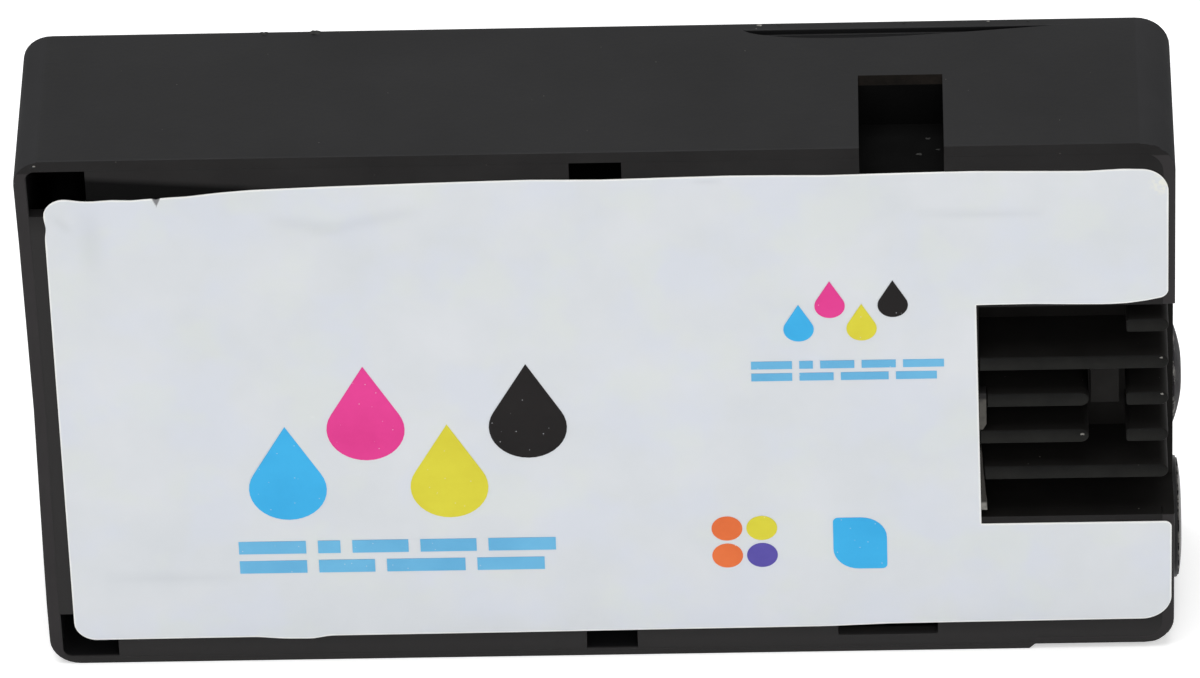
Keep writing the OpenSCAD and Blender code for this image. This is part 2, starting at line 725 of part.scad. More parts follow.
// Coil spring between the filter and the plunger's head
module valve_spring() color([0.7, 0.71, 0.72]) placed() {
    sides = 6;
    rings = coil_n * 16;
    x0 = filter_x + wire_r + 0.02;
    x1 = head_back - wire_r - 0.02;
    pts = [for (i = [0 : rings], j = [0 : sides - 1])
        let (t = 360 * i * coil_n / rings, w = 360 * j / sides, r = coil_r + wire_r * cos(w))
        [x0 + (x1 - x0) * i / rings + wire_r * sin(w), outlet_y + r * cos(t), outlet_z + r * sin(t)]];
    sweep = [for (i = [0 : rings - 1], j = [0 : sides - 1])
        let (k = (j + 1) % sides)
        [i * sides + j, i * sides + k, (i + 1) * sides + k, (i + 1) * sides + j]];
    ends = [[for (j = [0 : sides - 1]) sides - 1 - j], [for (j = [0 : sides - 1]) rings * sides + j]];
    polyhedron(pts, concat(sweep, ends), convexity = 10);
}

// Mesh disc at the inner end of the outlet's bore
module outlet_filter() color([0.72, 0.72, 0.68]) placed()
    rod(outlet_floor, filter_x, outlet_y, outlet_z, outlet_bore_r - press_gap);

// Pierced rubber plug in the air port, with a domed flange on the end face
module air_seal() color([0.13, 0.13, 0.13]) placed() {
    neck = air_bore_r - press_gap;
    collar(case_l, air_y, air_z, concat(
        [[air_hole_r, -air_seal_l], [neck, -air_seal_l], [neck, 0], [air_r, 0]],
        dome(air_hole_r + dome_flat, air_r, air_dome), [[air_hole_r, air_dome]]));
}

// Membrane over the chamber's vent
module vent_membrane() color([0.93, 0.93, 0.92]) placed()
    translate([vent_x, case_t / 2, case_h - inset]) cylinder(h = membrane_t, r = membrane_r);

// Plug in the filling hole, with its flange outside the chamber
module fill_plug() color([0.25, 0.25, 0.26]) placed() {
    rod(inset - fill_l, inset + rib_w, case_t / 2, fill_z, fill_r - press_gap);
    rod(inset - fill_l - flange_t, inset - fill_l, case_t / 2, fill_z, fill_r + flange_lip);
}

module chip_board() color([0.1, 0.35, 0.22]) placed() difference() {
    block([seat_x, chip_y - chip_w / 2, chip_z - chip_h / 2],
        [board_x, chip_y + chip_w / 2, chip_z + chip_h / 2]);
    for (s = [-1, 1]) rod(seat_x - 1, board_x + 1, chip_y, chip_z + s * stake_z, stake_r + press_gap);
}

// Gold strips on the board, between the two stakes
module chip_contacts() color([0.83, 0.68, 0.35]) placed() for (i = [0 : contact_n - 1]) {
    pitch = (chip_h - 4.4) / contact_n;
    z = chip_z + (i - (contact_n - 1) / 2) * pitch;
    block([board_x, chip_y - chip_w * 0.4, z - pitch * 0.36],
        [board_x + contact_t, chip_y + chip_w * 0.4, z + pitch * 0.36]);
}

// Resin drop over the circuit on the back of the board
module chip_glob() color([0.1, 0.1, 0.1]) placed() translate([seat_x, chip_y, chip_z])
    rotate([0, -90, 0]) rotate_extrude() polygon(concat([[0, 0]], [for (i = [0 : 5])
        [glob_r * cos(15 * i), glob_h * sin(15 * i)]], [[0, glob_h]]));

housing();
side_cover();
label();
print_cyan();
print_magenta();
print_yellow();
print_black();
print_blue();
print_orange();
print_violet();
chamber_film();
ink_sponge();
outlet_seal();
seal_cap();
valve_plunger();
valve_spring();
outlet_filter();
air_seal();
vent_membrane();
fill_plug();
chip_board();
chip_contacts();
chip_glob();
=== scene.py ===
"""Inkjet ink cartridge: finishes, fine shapes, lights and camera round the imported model."""
import logging
from dataclasses import dataclass
from enum import Enum
from functools import reduce
from math import radians, tau
from typing import Any, Callable, Iterable, Optional, Sequence

import bmesh
import bpy
import numpy as np
from mathutils import Matrix, Vector


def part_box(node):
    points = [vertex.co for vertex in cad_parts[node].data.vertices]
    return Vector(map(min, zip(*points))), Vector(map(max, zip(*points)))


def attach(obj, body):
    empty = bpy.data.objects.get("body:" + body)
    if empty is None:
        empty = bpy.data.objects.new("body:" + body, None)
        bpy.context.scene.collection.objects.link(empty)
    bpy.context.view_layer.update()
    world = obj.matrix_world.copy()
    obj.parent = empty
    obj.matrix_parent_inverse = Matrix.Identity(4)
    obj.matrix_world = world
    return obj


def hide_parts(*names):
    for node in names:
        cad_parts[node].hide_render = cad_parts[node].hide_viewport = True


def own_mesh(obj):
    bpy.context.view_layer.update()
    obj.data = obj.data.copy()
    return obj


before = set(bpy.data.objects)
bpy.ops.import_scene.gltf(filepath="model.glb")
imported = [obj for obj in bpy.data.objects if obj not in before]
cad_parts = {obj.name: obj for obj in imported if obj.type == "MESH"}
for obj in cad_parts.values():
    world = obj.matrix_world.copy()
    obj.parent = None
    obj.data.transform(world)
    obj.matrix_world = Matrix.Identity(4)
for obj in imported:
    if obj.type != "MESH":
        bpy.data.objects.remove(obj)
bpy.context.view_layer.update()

LOG = logging.getLogger("cartridge")
MM = 0.001
# Degrees between two faces under which they are one, and over which they meet in an edge
FLAT_ANGLE = 0.6
EDGE_ANGLE = 32.0
# Metres within which two vertices are one, and within which one lies on a cut
SAME_SPOT = 0.002 * MM
SAME_PLANE = 1e-7
# Scale at which Blender's wave texture makes one band in each unit of length
WAVE_SCALE = tau / 20.0

Array = np.ndarray
Mesh = bpy.types.Mesh
Socket = bpy.types.NodeSocket
Thing = bpy.types.Object
Pair = tuple[float, float]
Point = tuple[float, float, float]
Four = tuple[float, float, float, float]
Floats = tuple[float, ...]


class Body(Enum):
    """The two rigid bodies of the model."""

    CARTRIDGE = "cartridge"
    VALVE = "valve"


# Small tools


def linear(code: str) -> Four:
    """Turns an sRGB colour into linear RGBA.

    Args:
        code: six hex digits.

    Returns:
        Linear red, green and blue, and an alpha of 1.
    """
    parts = np.array([int(code[i:i + 2], 16) for i in (0, 2, 4)]) / 255.0
    low, high = parts / 12.92, ((parts + 0.055) / 1.055) ** 2.4
    red, green, blue = np.where(parts <= 0.04045, low, high).tolist()
    return red, green, blue, 1.0


def per(size_mm: float) -> float:
    """Returns the texture scale at which one feature measures size_mm."""
    return 1.0 / (size_mm * MM)


def corner() -> Array:
    """Returns the housing's grip-side, front, bottom corner in metres."""
    return np.array(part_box("housing")[0])


def place(points: Any) -> Array:
    """Moves points from the corner frame in millimetres into the row frame in metres."""
    return np.asarray(points, float) * MM + corner()


def put(name: str, data: bpy.types.ID) -> Thing:
    """Puts a new object with this mesh, lamp or camera into the scene and returns it."""
    thing = bpy.data.objects.new(name, data)
    bpy.context.scene.collection.objects.link(thing)
    return thing


def slide(mesh: Mesh, shift: Callable[[Array], Array]) -> None:
    """Moves the vertices of a mesh along x, as whole arrays.

    Args:
        mesh: the mesh, in the row frame.
        shift: works out how far each vertex moves from the places of them all.
    """
    flat = np.empty(len(mesh.vertices) * 3)
    mesh.vertices.foreach_get("co", flat)
    spots = flat.reshape(-1, 3)
    spots[:, 0] += shift(spots)
    mesh.vertices.foreach_set("co", flat)
    mesh.update()


class Graph:
    """The node tree of a material or of the world, while it is being written.

    Each step takes numbers or output sockets, and gives its result's output socket.
    """

    def __init__(self, owner: bpy.types.ID) -> None:
        """Takes over the owner's tree and empties it."""
        owner.use_nodes = True
        self.tree = owner.node_tree
        self.tree.nodes.clear()

    def add(self, kind: str, inputs: Optional[dict[Any, Any]] = None,
            **settings: Any) -> bpy.types.Node:
        """Adds a node, sets it up and links it.

        Args:
            kind: Blender's type name of the node, without its ShaderNode prefix.
            inputs: value or output socket for each input, by name or number.
            settings: attributes of the node.

        Returns:
            The new node.
        """
        node = self.tree.nodes.new("ShaderNode" + kind)
        for name, value in settings.items():
            setattr(node, name, value)
        for key, value in (inputs or {}).items():
            if isinstance(value, Socket):
                self.tree.links.new(value, node.inputs[key])
            else:
                node.inputs[key].default_value = value
        return node

    def maths(self, way: str, first: Any, second: Any = 0.0) -> Socket:
        """Joins two values by one of Blender's operations."""
        return self.add("Math", {0: first, 1: second}, operation=way).outputs[0]

    def times(self, *values: Any) -> Socket:
        """Multiplies values."""
        return reduce(lambda first, second: self.maths("MULTIPLY", first, second), values)

    def plus(self, first: Any, second: Any) -> Socket:
        """Adds two values."""
        return self.maths("ADD", first, second)

    def minus(self, first: Any, second: Any) -> Socket:
        """Takes the second value from the first."""
        return self.maths("SUBTRACT", first, second)

    def span(self, source: Any, low: float, high: float, to_low: float = 0.0,
             to_high: float = 1.0) -> Socket:
        """Maps the range from low to high on to that from to_low to to_high, clamped."""
        return self.add("MapRange", {"Value": source, "From Min": low, "From Max": high,
                                     "To Min": to_low, "To Max": to_high}).outputs["Result"]

    def between(self, source: Any, rise: Pair, fall: Pair) -> Socket:
        """Makes a mask that rises over one range of a value and falls over another."""
        return self.times(self.span(source, *rise), self.span(source, *fall, 1.0, 0.0))

    def mix(self, factor: Any, first: Any, second: Any) -> Socket:
        """Mixes two colours, wholly the second at a factor of 1."""
        return self.add("Mix", {0: factor, 6: first, 7: second}, data_type="RGBA").outputs[2]

    def seen(self) -> Socket:
        """Gives 1 to what the camera sees, also in a reflection or through a clear piece."""
        rays = self.add("LightPath").outputs
        through = self.maths("MAXIMUM", rays["Is Glossy Ray"], rays["Is Transmission Ray"])
        return self.maths("MAXIMUM", rays["Is Camera Ray"], through)


class Coat(Graph):
    """The graph of a finish, with its colour, roughness and relief as far as they are done.

    The socket where gives the place on the piece, in metres in the row frame.
    """

    where: Socket
    colour: Socket
    gloss: Socket
    relief: Socket

    def __init__(self, owner: bpy.types.Material) -> None:
        """Starts the graph with the place on the piece."""
        super().__init__(owner)
        self.where = self.add("TexCoord").outputs["Object"]

    def paint(self, mask: Any, code: str) -> None:
        """Covers the colour with a hex colour as far as the mask says."""
        self.colour = self.mix(mask, self.colour, linear(code))

    def roughen(self, mask: Any, amount: float) -> None:
        """Adds amount to the roughness as far as the mask says."""
        self.gloss = self.plus(self.gloss, self.times(mask, amount))

    def mapped(self, scale: Point = (1.0, 1.0, 1.0), turn: Point = (0.0, 0.0, 0.0),
               shift: Point = (0.0, 0.0, 0.0)) -> Socket:
        """Gives the place scaled, then turned by angles in radians, then moved."""
        return self.add("Mapping", {"Vector": self.where, "Scale": scale, "Rotation": turn,
                                    "Location": shift}).outputs[0]

    def local(self) -> tuple[Socket, Socket]:
        """Gives the place along x and the height, in the corner frame in millimetres."""
        moved = self.mapped((1.0 / MM,) * 3, shift=tuple((corner() / -MM).tolist()))
        axes = self.add("SeparateXYZ", {"Vector": moved}).outputs
        return axes["X"], axes["Z"]

    def noise(self, size_mm: float, detail: float = 2.0, rough: float = 0.5,
              twist: float = 0.0, where: Optional[Socket] = None) -> Socket:
        """Gives a noise whose features measure size_mm."""
        return self.add("TexNoise", {
            "Vector": where or self.where, "Scale": per(size_mm), "Detail": detail,
            "Roughness": rough, "Distortion": twist}).outputs["Fac"]

    def cells(self, size_mm: float) -> tuple[Socket, Socket]:
        """Gives the distance to the middle of a cell that measures size_mm, and its colour."""
        node = self.add("TexVoronoi", {"Vector": self.where, "Scale": per(size_mm)})
        return node.outputs["Distance"], node.outputs["Color"]

    def bands(self, pitch_mm: float, axis: str, twist: float = 0.0) -> Socket:
        """Gives bands across an axis, one in every pitch_mm."""
        return self.add("TexWave", {"Vector": self.where, "Distortion": twist,
                                    "Scale": per(pitch_mm) * WAVE_SCALE},
                        bands_direction=axis).outputs["Fac"]

    def distance(self, spot: Socket, point: Iterable[float]) -> Socket:
        """Gives how far a spot is from a point."""
        return self.add("VectorMath", {0: spot, 1: tuple(map(float, point))},
                        operation="DISTANCE").outputs["Value"]

    def attribute(self, name: str) -> Socket:
        """Gives a number that the mesh holds at each point."""
        return self.add("Attribute", attribute_name=name).outputs["Fac"]


# Finishes


@dataclass(frozen=True)
class Finish:
    """A procedural finish: mottled colour, uneven gloss and fine relief.

    The colour runs between tone and shade in patches of patch_mm. The roughness varies
    with the same patches, and a noise of grain_mm gives the relief, depth_mm deep.
    """

    name: str
    tone: str
    shade: str
    patch_mm: float = 6.0
    grain_mm: float = 0.3
    depth_mm: float = 0.01
    rough: float = 0.5
    rough_spread: float = 0.08
    metallic: float = 0.0
    ior: float = 1.5
    transmission: float = 0.0
    subsurface: float = 0.0
    specular: float = 0.5
    # Values of the noise between which the patches blend, and how deep light gets
    blend: Pair = (0.3, 0.7)
    scatter_mm: float = 0.6

    def build(self) -> bpy.types.Material:
        """Returns the material, which is made the first time it is asked for."""
        found = bpy.data.materials.get("finish_" + self.name)
        if found:
            return found
        material = bpy.data.materials.new("finish_" + self.name)
        coat = Coat(material)
        patches = coat.noise(self.patch_mm, 4.0, 0.55)
        coat.colour = coat.mix(coat.span(patches, *self.blend), linear(self.shade),
                               linear(self.tone))
        half = self.rough_spread / 2
        coat.gloss = coat.span(patches, *self.blend, self.rough + half, self.rough - half)
        coat.relief = coat.noise(self.grain_mm, 3.0)
        self.detail(coat)
        bump = coat.add("Bump", {"Height": coat.relief, "Distance": self.depth_mm * MM,
                                 "Strength": 1.0})
        inputs = {"Base Color": coat.colour, "Roughness": coat.gloss, "Metallic": self.metallic,
                  "Normal": bump.outputs["Normal"], "Subsurface Weight": self.subsurface,
                  "Transmission Weight": self.transmission}
        if not self.metallic:
            inputs |= {"IOR": self.ior, "Specular IOR Level": self.specular}
        if self.subsurface:
            inputs["Subsurface Scale"] = self.scatter_mm * MM
        coat.add("OutputMaterial", {"Surface": coat.add("BsdfPrincipled", inputs).outputs[0]})
        return material

    def detail(self, coat: Coat) -> None:
        """Leaves the plain mottling as it is; a subclass adds its own pattern to the coat."""


@dataclass(frozen=True)
class MouldedBlack(Finish):
    """Black polystyrene out of a spark-eroded mould: satin, faintly grained, handled.

    Dust sits on it in pale specks, at most one in each cell of dust_mm and none in most of
    them, and light rubs run along the cartridge.
    """

    depth_mm: float = 0.010
    dust: str = "9A968F"
    dust_mm: float = 1.1
    dust_share: float = 0.06
    dust_cover: float = 0.55
    clean_share: float = 0.72
    rub: float = 0.10
    rub_mm: float = 0.5
    sink_mm: float = 2.5

    def detail(self, coat: Coat) -> None:
        """Adds dust specks, rubs along the length and the mould's slow unevenness.

        Args:
            coat: the surface to add them to.
        """
        distance, colour = coat.cells(self.dust_mm)
        draw = coat.add("SeparateColor", {"Color": colour}).outputs[0]
        size = coat.span(draw, self.clean_share, 1.0, 0.0, self.dust_share)
        speck = coat.span(coat.minus(size, distance), 0.0, 0.02)
        coat.paint(coat.times(speck, self.dust_cover), self.dust)
        along = coat.mapped((0.06, 1.0, 1.0), turn=(0.0, 0.05, 0.02))
        rubs = coat.noise(self.rub_mm, 5.0, 0.7, where=along)
        coat.roughen(coat.span(rubs, 0.60, 0.74), self.rub)
        coat.relief = coat.plus(coat.relief, coat.times(coat.noise(self.sink_mm), 1.5))


@dataclass(frozen=True)
class MouldedLid(MouldedBlack):
    """The lid's plastic: duller, with a painted shadow band over the label's grip-side corner.

    All places are in the corner frame in millimetres. The band, a painted shadow, lies under the
    line between the two points of band, given along x and up. Under the heights foot_z, and
    before the stations side_x under the heights side_z, the plastic is painted paler as light.
    The two tabs beside the key recess get a painted sheen, ragged with noise: from the lower one
    up to the upper one, over the heights tab_blend, and palest, a painted highlight, at the lower
    one's foot.
    """

    foot_z: Pair = (2.0, 5.0)
    side_x: Pair = (2.6, 3.4)
    side_z: Pair = (55.0, 57.5)
    painted_light_tone: str = "2D2C2C"
    band: tuple[Pair, Pair] = ((6.8, 61.9), (22.0, 60.65))
    band_depth: Pair = (-0.25, 0.55)
    band_start: float = 0.3
    band_end: float = 4.0
    band_floor: Pair = (50.0, 55.0)
    shadow_band_tone: str = "060606"
    band_rough: float = 0.4
    tab_x: tuple[Pair, Pair] = ((94.12, 94.22), (95.1, 95.2))
    tab_z: tuple[Pair, Pair] = ((17.4, 17.8), (32.2, 32.5))
    tab_foot: Pair = (19.3, 19.0)
    tab_blend: Pair = (26.0, 28.4)
    lower_tone: str = "312F2C"
    upper_tone: str = "4E4C48"
    tab_highlight_tone: str = "817F7A"

    def detail(self, coat: Coat) -> None:
        """Adds painted light: the paler foot and edge, the shadow band and the sheen on the tabs.

        Args:
            coat: the surface to add them to.
        """
        super().detail(coat)
        along, height = coat.local()
        # Painted light: paler towards the lid's foot and beside its grip-side edge
        side = coat.times(coat.span(along, *self.side_x, 1.0, 0.0),
                          coat.span(height, *self.side_z, 1.0, 0.0))
        foot = coat.span(height, *self.foot_z, 1.0, 0.0)
        coat.paint(coat.maths("MAXIMUM", side, foot), self.painted_light_tone)
        # Painted shadow: a dark band on the lid just above the label's upper edge at the grip end
        (x0, z0), (x1, z1) = self.band
        slope = (z1 - z0) / (x1 - x0)
        line = coat.plus(coat.times(along, slope), z0 - slope * x0)
        under = coat.span(coat.minus(line, height), *self.band_depth)
        ends = coat.between(along, (x0 - self.band_start, x0), (x1, x1 + self.band_end))
        band = coat.times(under, ends, coat.span(height, *self.band_floor))
        coat.paint(band, self.shadow_band_tone)
        coat.roughen(band, self.band_rough)
        # Painted sheen on the tabs beside the key recess, ragged with noise, and a painted
        # highlight at the lower tab's foot
        tone = coat.mix(coat.span(height, *self.tab_blend), linear(self.lower_tone),
                        linear(self.upper_tone))
        tone = coat.mix(coat.span(height, *self.tab_foot), tone, linear(self.tab_highlight_tone))
        tab = coat.times(coat.between(along, *self.tab_x), coat.between(height, *self.tab_z))
        scuff_and_glint = coat.span(coat.noise(0.9, 4.0, 0.6), 0.3, 0.5, 0.5, 1.0)
        coat.colour = coat.mix(coat.times(tab, scuff_and_glint), coat.colour, tone)


@dataclass(frozen=True)
class RibBlack(MouldedBlack):
    """The key ribs' faces, each bright at its lower edge and dark towards its upper one.

    The ribs repeat at pitch_mm from the height first_mm, the first one's lower edge.
    """

    first_mm: float = 22.07
    pitch_mm: float = 4.62
    height_mm: float = 1.65
    dark: float = 0.3
    dark_from: float = 0.35
    dark_tone: str = "050505"

    def detail(self, coat: Coat) -> None:
        """Darkens each rib towards its upper edge.

        Args:
            coat: the surface to darken.
        """
        super().detail(coat)
        _, height = coat.local()
        turns = coat.times(coat.minus(height, self.first_mm), 1.0 / self.pitch_mm)
        within = coat.times(coat.maths("FRACT", turns), self.pitch_mm / self.height_mm)
        lit = coat.span(within, self.dark_from, 1.0, 1.0, self.dark)
        coat.colour = coat.mix(lit, linear(self.dark_tone), coat.colour)


@dataclass(frozen=True)
class LabelPaper(Finish):
    """Coated white adhesive label: smooth, with cool and greenish patches, and painted shade along
    its creases.

    The attribute rim is 1 at the cut edge, which carries a painted highlight, and falls to 0
    within the label's rim_width. The attribute nick is 1 where the sheet is torn grey, and crease
    rises to 1 along the creases, which carry painted shade. Pale fibres stand round fray_at, in
    the corner frame in millimetres.
    """

    cool: str = "D4D9E6"
    green: str = "D9DED9"
    tint: float = 0.4
    edge_highlight: str = "EDEEEC"
    torn: str = "7C7C7E"
    crease_shade: str = "B4B9BF"
    crease_shade_cover: float = 0.22
    fray_at: Point = (112.5, -0.15, 59.1)
    fray_reach: Pair = (0.5 * MM, 1.7 * MM)
    fibre: str = "E6E6DC"

    def detail(self, coat: Coat) -> None:
        """Adds the tinted patches, the painted shade along the creases, the painted highlight
        along the cut edge, the fibres and the torn nick.

        Args:
            coat: the surface to add them to.
        """
        coat.paint(coat.span(coat.noise(9.0, 3.0), 0.48, 0.62, 0.0, self.tint), self.cool)
        shifted = coat.noise(7.0, 3.0, where=coat.mapped(shift=(0.3, 0.1, 0.2)))
        coat.paint(coat.span(shifted, 0.52, 0.64, 0.0, self.tint), self.green)
        # Painted shade along the creases
        coat.paint(coat.times(coat.attribute("crease"), self.crease_shade_cover), self.crease_shade)
        # Painted highlight along the label's cut edge
        ragged = coat.plus(coat.attribute("rim"), coat.times(coat.noise(1.6), 0.6))
        coat.paint(coat.span(ragged, 0.45, 0.9), self.edge_highlight)
        away = coat.distance(coat.where, place(self.fray_at))
        fray = coat.times(coat.span(away, *self.fray_reach, 0.9, 0.0),
                          coat.span(coat.noise(0.45, 3.0), 0.42, 0.56))
        coat.paint(fray, self.fibre)
        coat.paint(coat.attribute("nick"), self.torn)


@dataclass(frozen=True)
class PrintedInk(Finish):
    """Offset ink on a coated label: even, faintly streaked along the press, with pinholes."""

    rough: float = 0.42
    specular: float = 0.2
    paper: str = "E4E6EA"
    pore_mm: float = 0.9

    def detail(self, coat: Coat) -> None:
        """Adds press streaks and the white pinholes of the paper's pores."""
        streaks = coat.noise(0.7, 3.0, where=coat.mapped((0.08, 1.0, 1.0)))
        coat.paint(coat.span(streaks, 0.35, 0.75, 0.0, 0.16), self.shade)
        coat.paint(coat.span(coat.cells(self.pore_mm)[0], 0.05, 0.08, 0.5, 0.0), self.paper)


@dataclass(frozen=True)
class ScuffedAndGlinting(Finish):
    """Dark moulded plastic or rubber with whitish marks: scuffs where the printer's socket rubs
    it, and painted glints.

    They lie along the outer edge of the round node around, whose axis runs along x: their
    strength rises over the shares ring of its radius.
    """

    around: str = "seal_cap"
    ring: Pair = (0.86, 0.98)
    strength: Pair = (0.06, 0.85)
    scuff_and_glint: str = "94928E"
    scuff_and_glint_mm: float = 1.9
    scuff_and_glint_from: float = 0.48
    scuff_rough: float = 0.3

    def detail(self, coat: Coat) -> None:
        """Adds ragged whitish marks, scuffs and painted glints, which also roughen the gloss.

        Args:
            coat: the surface to add them to.
        """
        low, high = (np.array(end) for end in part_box(self.around))
        middle, radius = (low + high) / 2, float(high[2] - low[2]) / 2
        away = coat.distance(coat.mapped((0.0, 1.0, 1.0)), (0.0, *middle[1:]))
        outer = coat.span(away, *(share * radius for share in self.ring), *self.strength)
        ragged = coat.noise(self.scuff_and_glint_mm, 4.0, 0.7, 0.4)
        # Scuffs and painted glints along the outer edge of the round node
        mark = coat.times(outer, coat.span(ragged, self.scuff_and_glint_from, self.scuff_and_glint_from + 0.1))
        coat.paint(mark, self.scuff_and_glint)
        coat.roughen(mark, self.scuff_rough)


@dataclass(frozen=True)
class WovenMesh(Finish):
    """Stainless filter mesh: two crossing sets of wires, drawn coarser than real to show."""

    pitch_mm: float = 2.827
    gap: str = "3A3A38"

    def detail(self, coat: Coat) -> None:
        """Adds the crossing wires as bands in colour and relief."""
        coat.relief = coat.maths("MAXIMUM", coat.bands(self.pitch_mm, "Y"),
                                 coat.bands(self.pitch_mm, "Z"))
        coat.colour = coat.mix(coat.span(coat.relief, 0.2, 0.8), linear(self.gap), coat.colour)


@dataclass(frozen=True)
class FoamCells(Finish):
    """Open-cell melamine foam soaked with ink: dark pores in a wet lattice."""

    cell_mm: float = 0.9

    def detail(self, coat: Coat) -> None:
        """Adds the pores as dark cell middles."""
        coat.relief, _ = coat.cells(self.cell_mm)
        coat.paint(coat.span(coat.relief, 0.1, 0.5, 0.6, 0.0), self.shade)


@dataclass(frozen=True)
class DrawnWire(Finish):
    """Drawn spring steel: bright, with die lines across the coil's axis."""

    line_mm: float = 0.754

    def detail(self, coat: Coat) -> None:
        """Adds the die lines as bands of gloss."""
        coat.roughen(coat.bands(self.line_mm, "X", 2.0), 0.1)


@dataclass(frozen=True)
class SolderMask(Finish):
    """Green solder mask over glass weave: the weave's bundles show through it."""

    bundle_mm: float = 0.55

    def detail(self, coat: Coat) -> None:
        check = coat.add("TexChecker", {"Vector": coat.where, "Scale": per(self.bundle_mm)})
        coat.paint(coat.times(check.outputs["Fac"], 0.25), self.shade)


@dataclass(frozen=True)
class GoldPlate(Finish):
    """Gold flash over nickel, with wipe marks of the printer's pins."""

    wipe_mm: float = 0.35

    def detail(self, coat: Coat) -> None:
        """Adds wipe marks that run upwards.

        Args:
            coat: the surface to add them to.
        """
        marks = coat.noise(self.wipe_mm, 3.0, where=coat.mapped((1.0, 1.0, 0.1)))
        wipe = coat.span(marks, 0.55, 0.7)
        coat.paint(coat.times(wipe, 0.5), self.shade)
        coat.roughen(wipe, 0.2)


# Each finish: name, tone, shade, sizes of patches and grain and its depth in mm, roughness.
# The rim is rubbed brighter than the satin housing, the walls of the pocket and of the key
# recess keep the mould's dull skin and are painted darker as shade, and the pocket's slanted
# edge is scraped brown.
HOUSING_BLACK = MouldedBlack("moulded_polystyrene_black", "1D1D1E", "171718", 14.0, 0.5,
                             rough=0.42, specular=0.155)
# The rounded corners: a paler, matt copy of the housing plastic, painted light in place of their
# sheen
CORNER_BLACK = MouldedBlack("dull_corner_black", "343435", "2F2F30", 14.0, 0.5, rough=0.8,
                            specular=0.03)
LID_BLACK = MouldedLid("moulded_polystyrene_lid", "232222", "1C1B1B", 10.0, 0.45, rough=0.48,
                       specular=0.07)
RIM_BLACK = MouldedBlack("rubbed_rim_black", "211E1F", "1C191A", 5.0, 0.4, 0.008, 0.42,
                         specular=0.2)
RIB_BLACK = RibBlack("dull_rib_black", "20201E", "181817", 3.0, rough=0.55, rub=0.05,
                     specular=0.06)
# Painted shade: the key recess's walls, and the lid's edge under it, a little darker than the
# housing
RECESS_BLACK = MouldedBlack("dull_recess_black", "191817", "131211", 5.0, 0.4, 0.012, 0.7,
                            rub=0.02, specular=0.07)
# Painted shade: the latch pocket's walls, much darker than the housing
POCKET_BLACK = MouldedBlack("dull_pocket_black", "0E0E0E", "0A0A0A", 4.0, 0.4, 0.012, 0.75,
                            rub=0.02, specular=0.03)
SCRAPED_BLACK = MouldedBlack("scraped_pocket_edge", "15110E", "0D0B09", 1.4, 0.25, 0.03, 0.7,
                             specular=0.05)
PAPER = LabelPaper("coated_label_paper", "DADDE1", "D3D7DB", 11.0, 0.6, 0.004, specular=0.35)
INKS = {
    "cyan": PrintedInk("offset_ink_cyan", "3CB4EB", "34A9E2"),
    "magenta": PrintedInk("offset_ink_magenta", "E83E95", "DC3489"),
    "yellow": PrintedInk("offset_ink_yellow", "DED63C", "D4C933"),
    "black": PrintedInk("offset_ink_black", "1D1A1A", "171515", specular=0.1),
    "blue": PrintedInk("offset_ink_light_blue", "6EB9E1", "62ADD8"),
    "orange": PrintedInk("offset_ink_orange", "E8743C", "DC6832"),
    "violet": PrintedInk("offset_ink_violet", "5B50A8", "50469C"),
}
SILICONE = Finish("cast_silicone_milky", "CDD0CC", "B9BDB8", 2.0, 0.25, rough=0.38, ior=1.41,
                  transmission=0.25, subsurface=0.4)
RING_BLACK = ScuffedAndGlinting("polished_acetal_black", "1D1D1E", "151516", 1.6, 0.3, 0.02, 0.35,
                     ior=1.48, specular=0.12)
GROMMET_BLACK = ScuffedAndGlinting("moulded_butyl_rubber", "242225", "171619", 1.4, 0.4, 0.04, 0.6,
                        specular=0.05, around="air_seal", scuff_and_glint_from=0.52)
# Pale flecks of flash, partly painted glints in the latch pocket
FLASH_AND_GLINT = MouldedBlack("mould_flash_and_glints", "3A3A39", "2A2A29", 0.4, 0.1, rough=0.6, specular=0.1)
# Pale lint, partly painted glints at the ribs' port ends
LINT_AND_GLINT = Finish("paper_lint_and_glints", "8E8C87", "6F6D69", 0.2, 0.08, 0.02, 0.8, specular=0.2)
ACETAL = Finish("natural_acetal", "E2E1DA", "D2D1C8", 1.5, 0.2, 0.006, 0.35, ior=1.48,
                subsurface=0.2)
SPRING_STEEL = DrawnWire("drawn_spring_steel", "B9B8B4", "9A9995", 0.8, 0.1, 0.004, 0.26,
                         metallic=1.0)
INNER_FINISHES = {
    "outlet_filter": WovenMesh("woven_stainless_mesh", "B0AFA8", "93928B", 1.0, depth_mm=0.08,
                               rough=0.4, metallic=1.0),
    "vent_membrane": Finish("porous_ptfe", "EDEDEA", "DEDEDA", 0.5, 0.15, 0.03, 0.8, ior=1.35),
    "fill_plug": Finish("nitrile_rubber", "2E2D2C", "252423", 1.2, 0.2, 0.015, 0.65),
    "ink_sponge": FoamCells("ink_soaked_foam", "3C9CC4", "164A63", 5.0, depth_mm=0.2,
                            rough=0.45, ior=1.35),
    "chamber_film": Finish("welded_film_clear", "DCE3E6", "CDD6DA", 6.0, 1.2, 0.02, 0.15,
                           transmission=0.9),
    "chip_board": SolderMask("solder_mask_green", "1D6A41", "14512F", 1.2, 0.3, 0.006, 0.33),
    "chip_contacts": GoldPlate("gold_flash", "E3BE6A", "B89550", 0.7, 0.12, 0.004, 0.28,
                               metallic=1.0),
    "chip_glob": Finish("potting_resin_black", "1A1A1B", "111112", 1.0, 0.5, 0.02, 0.25),
}


# Pieces


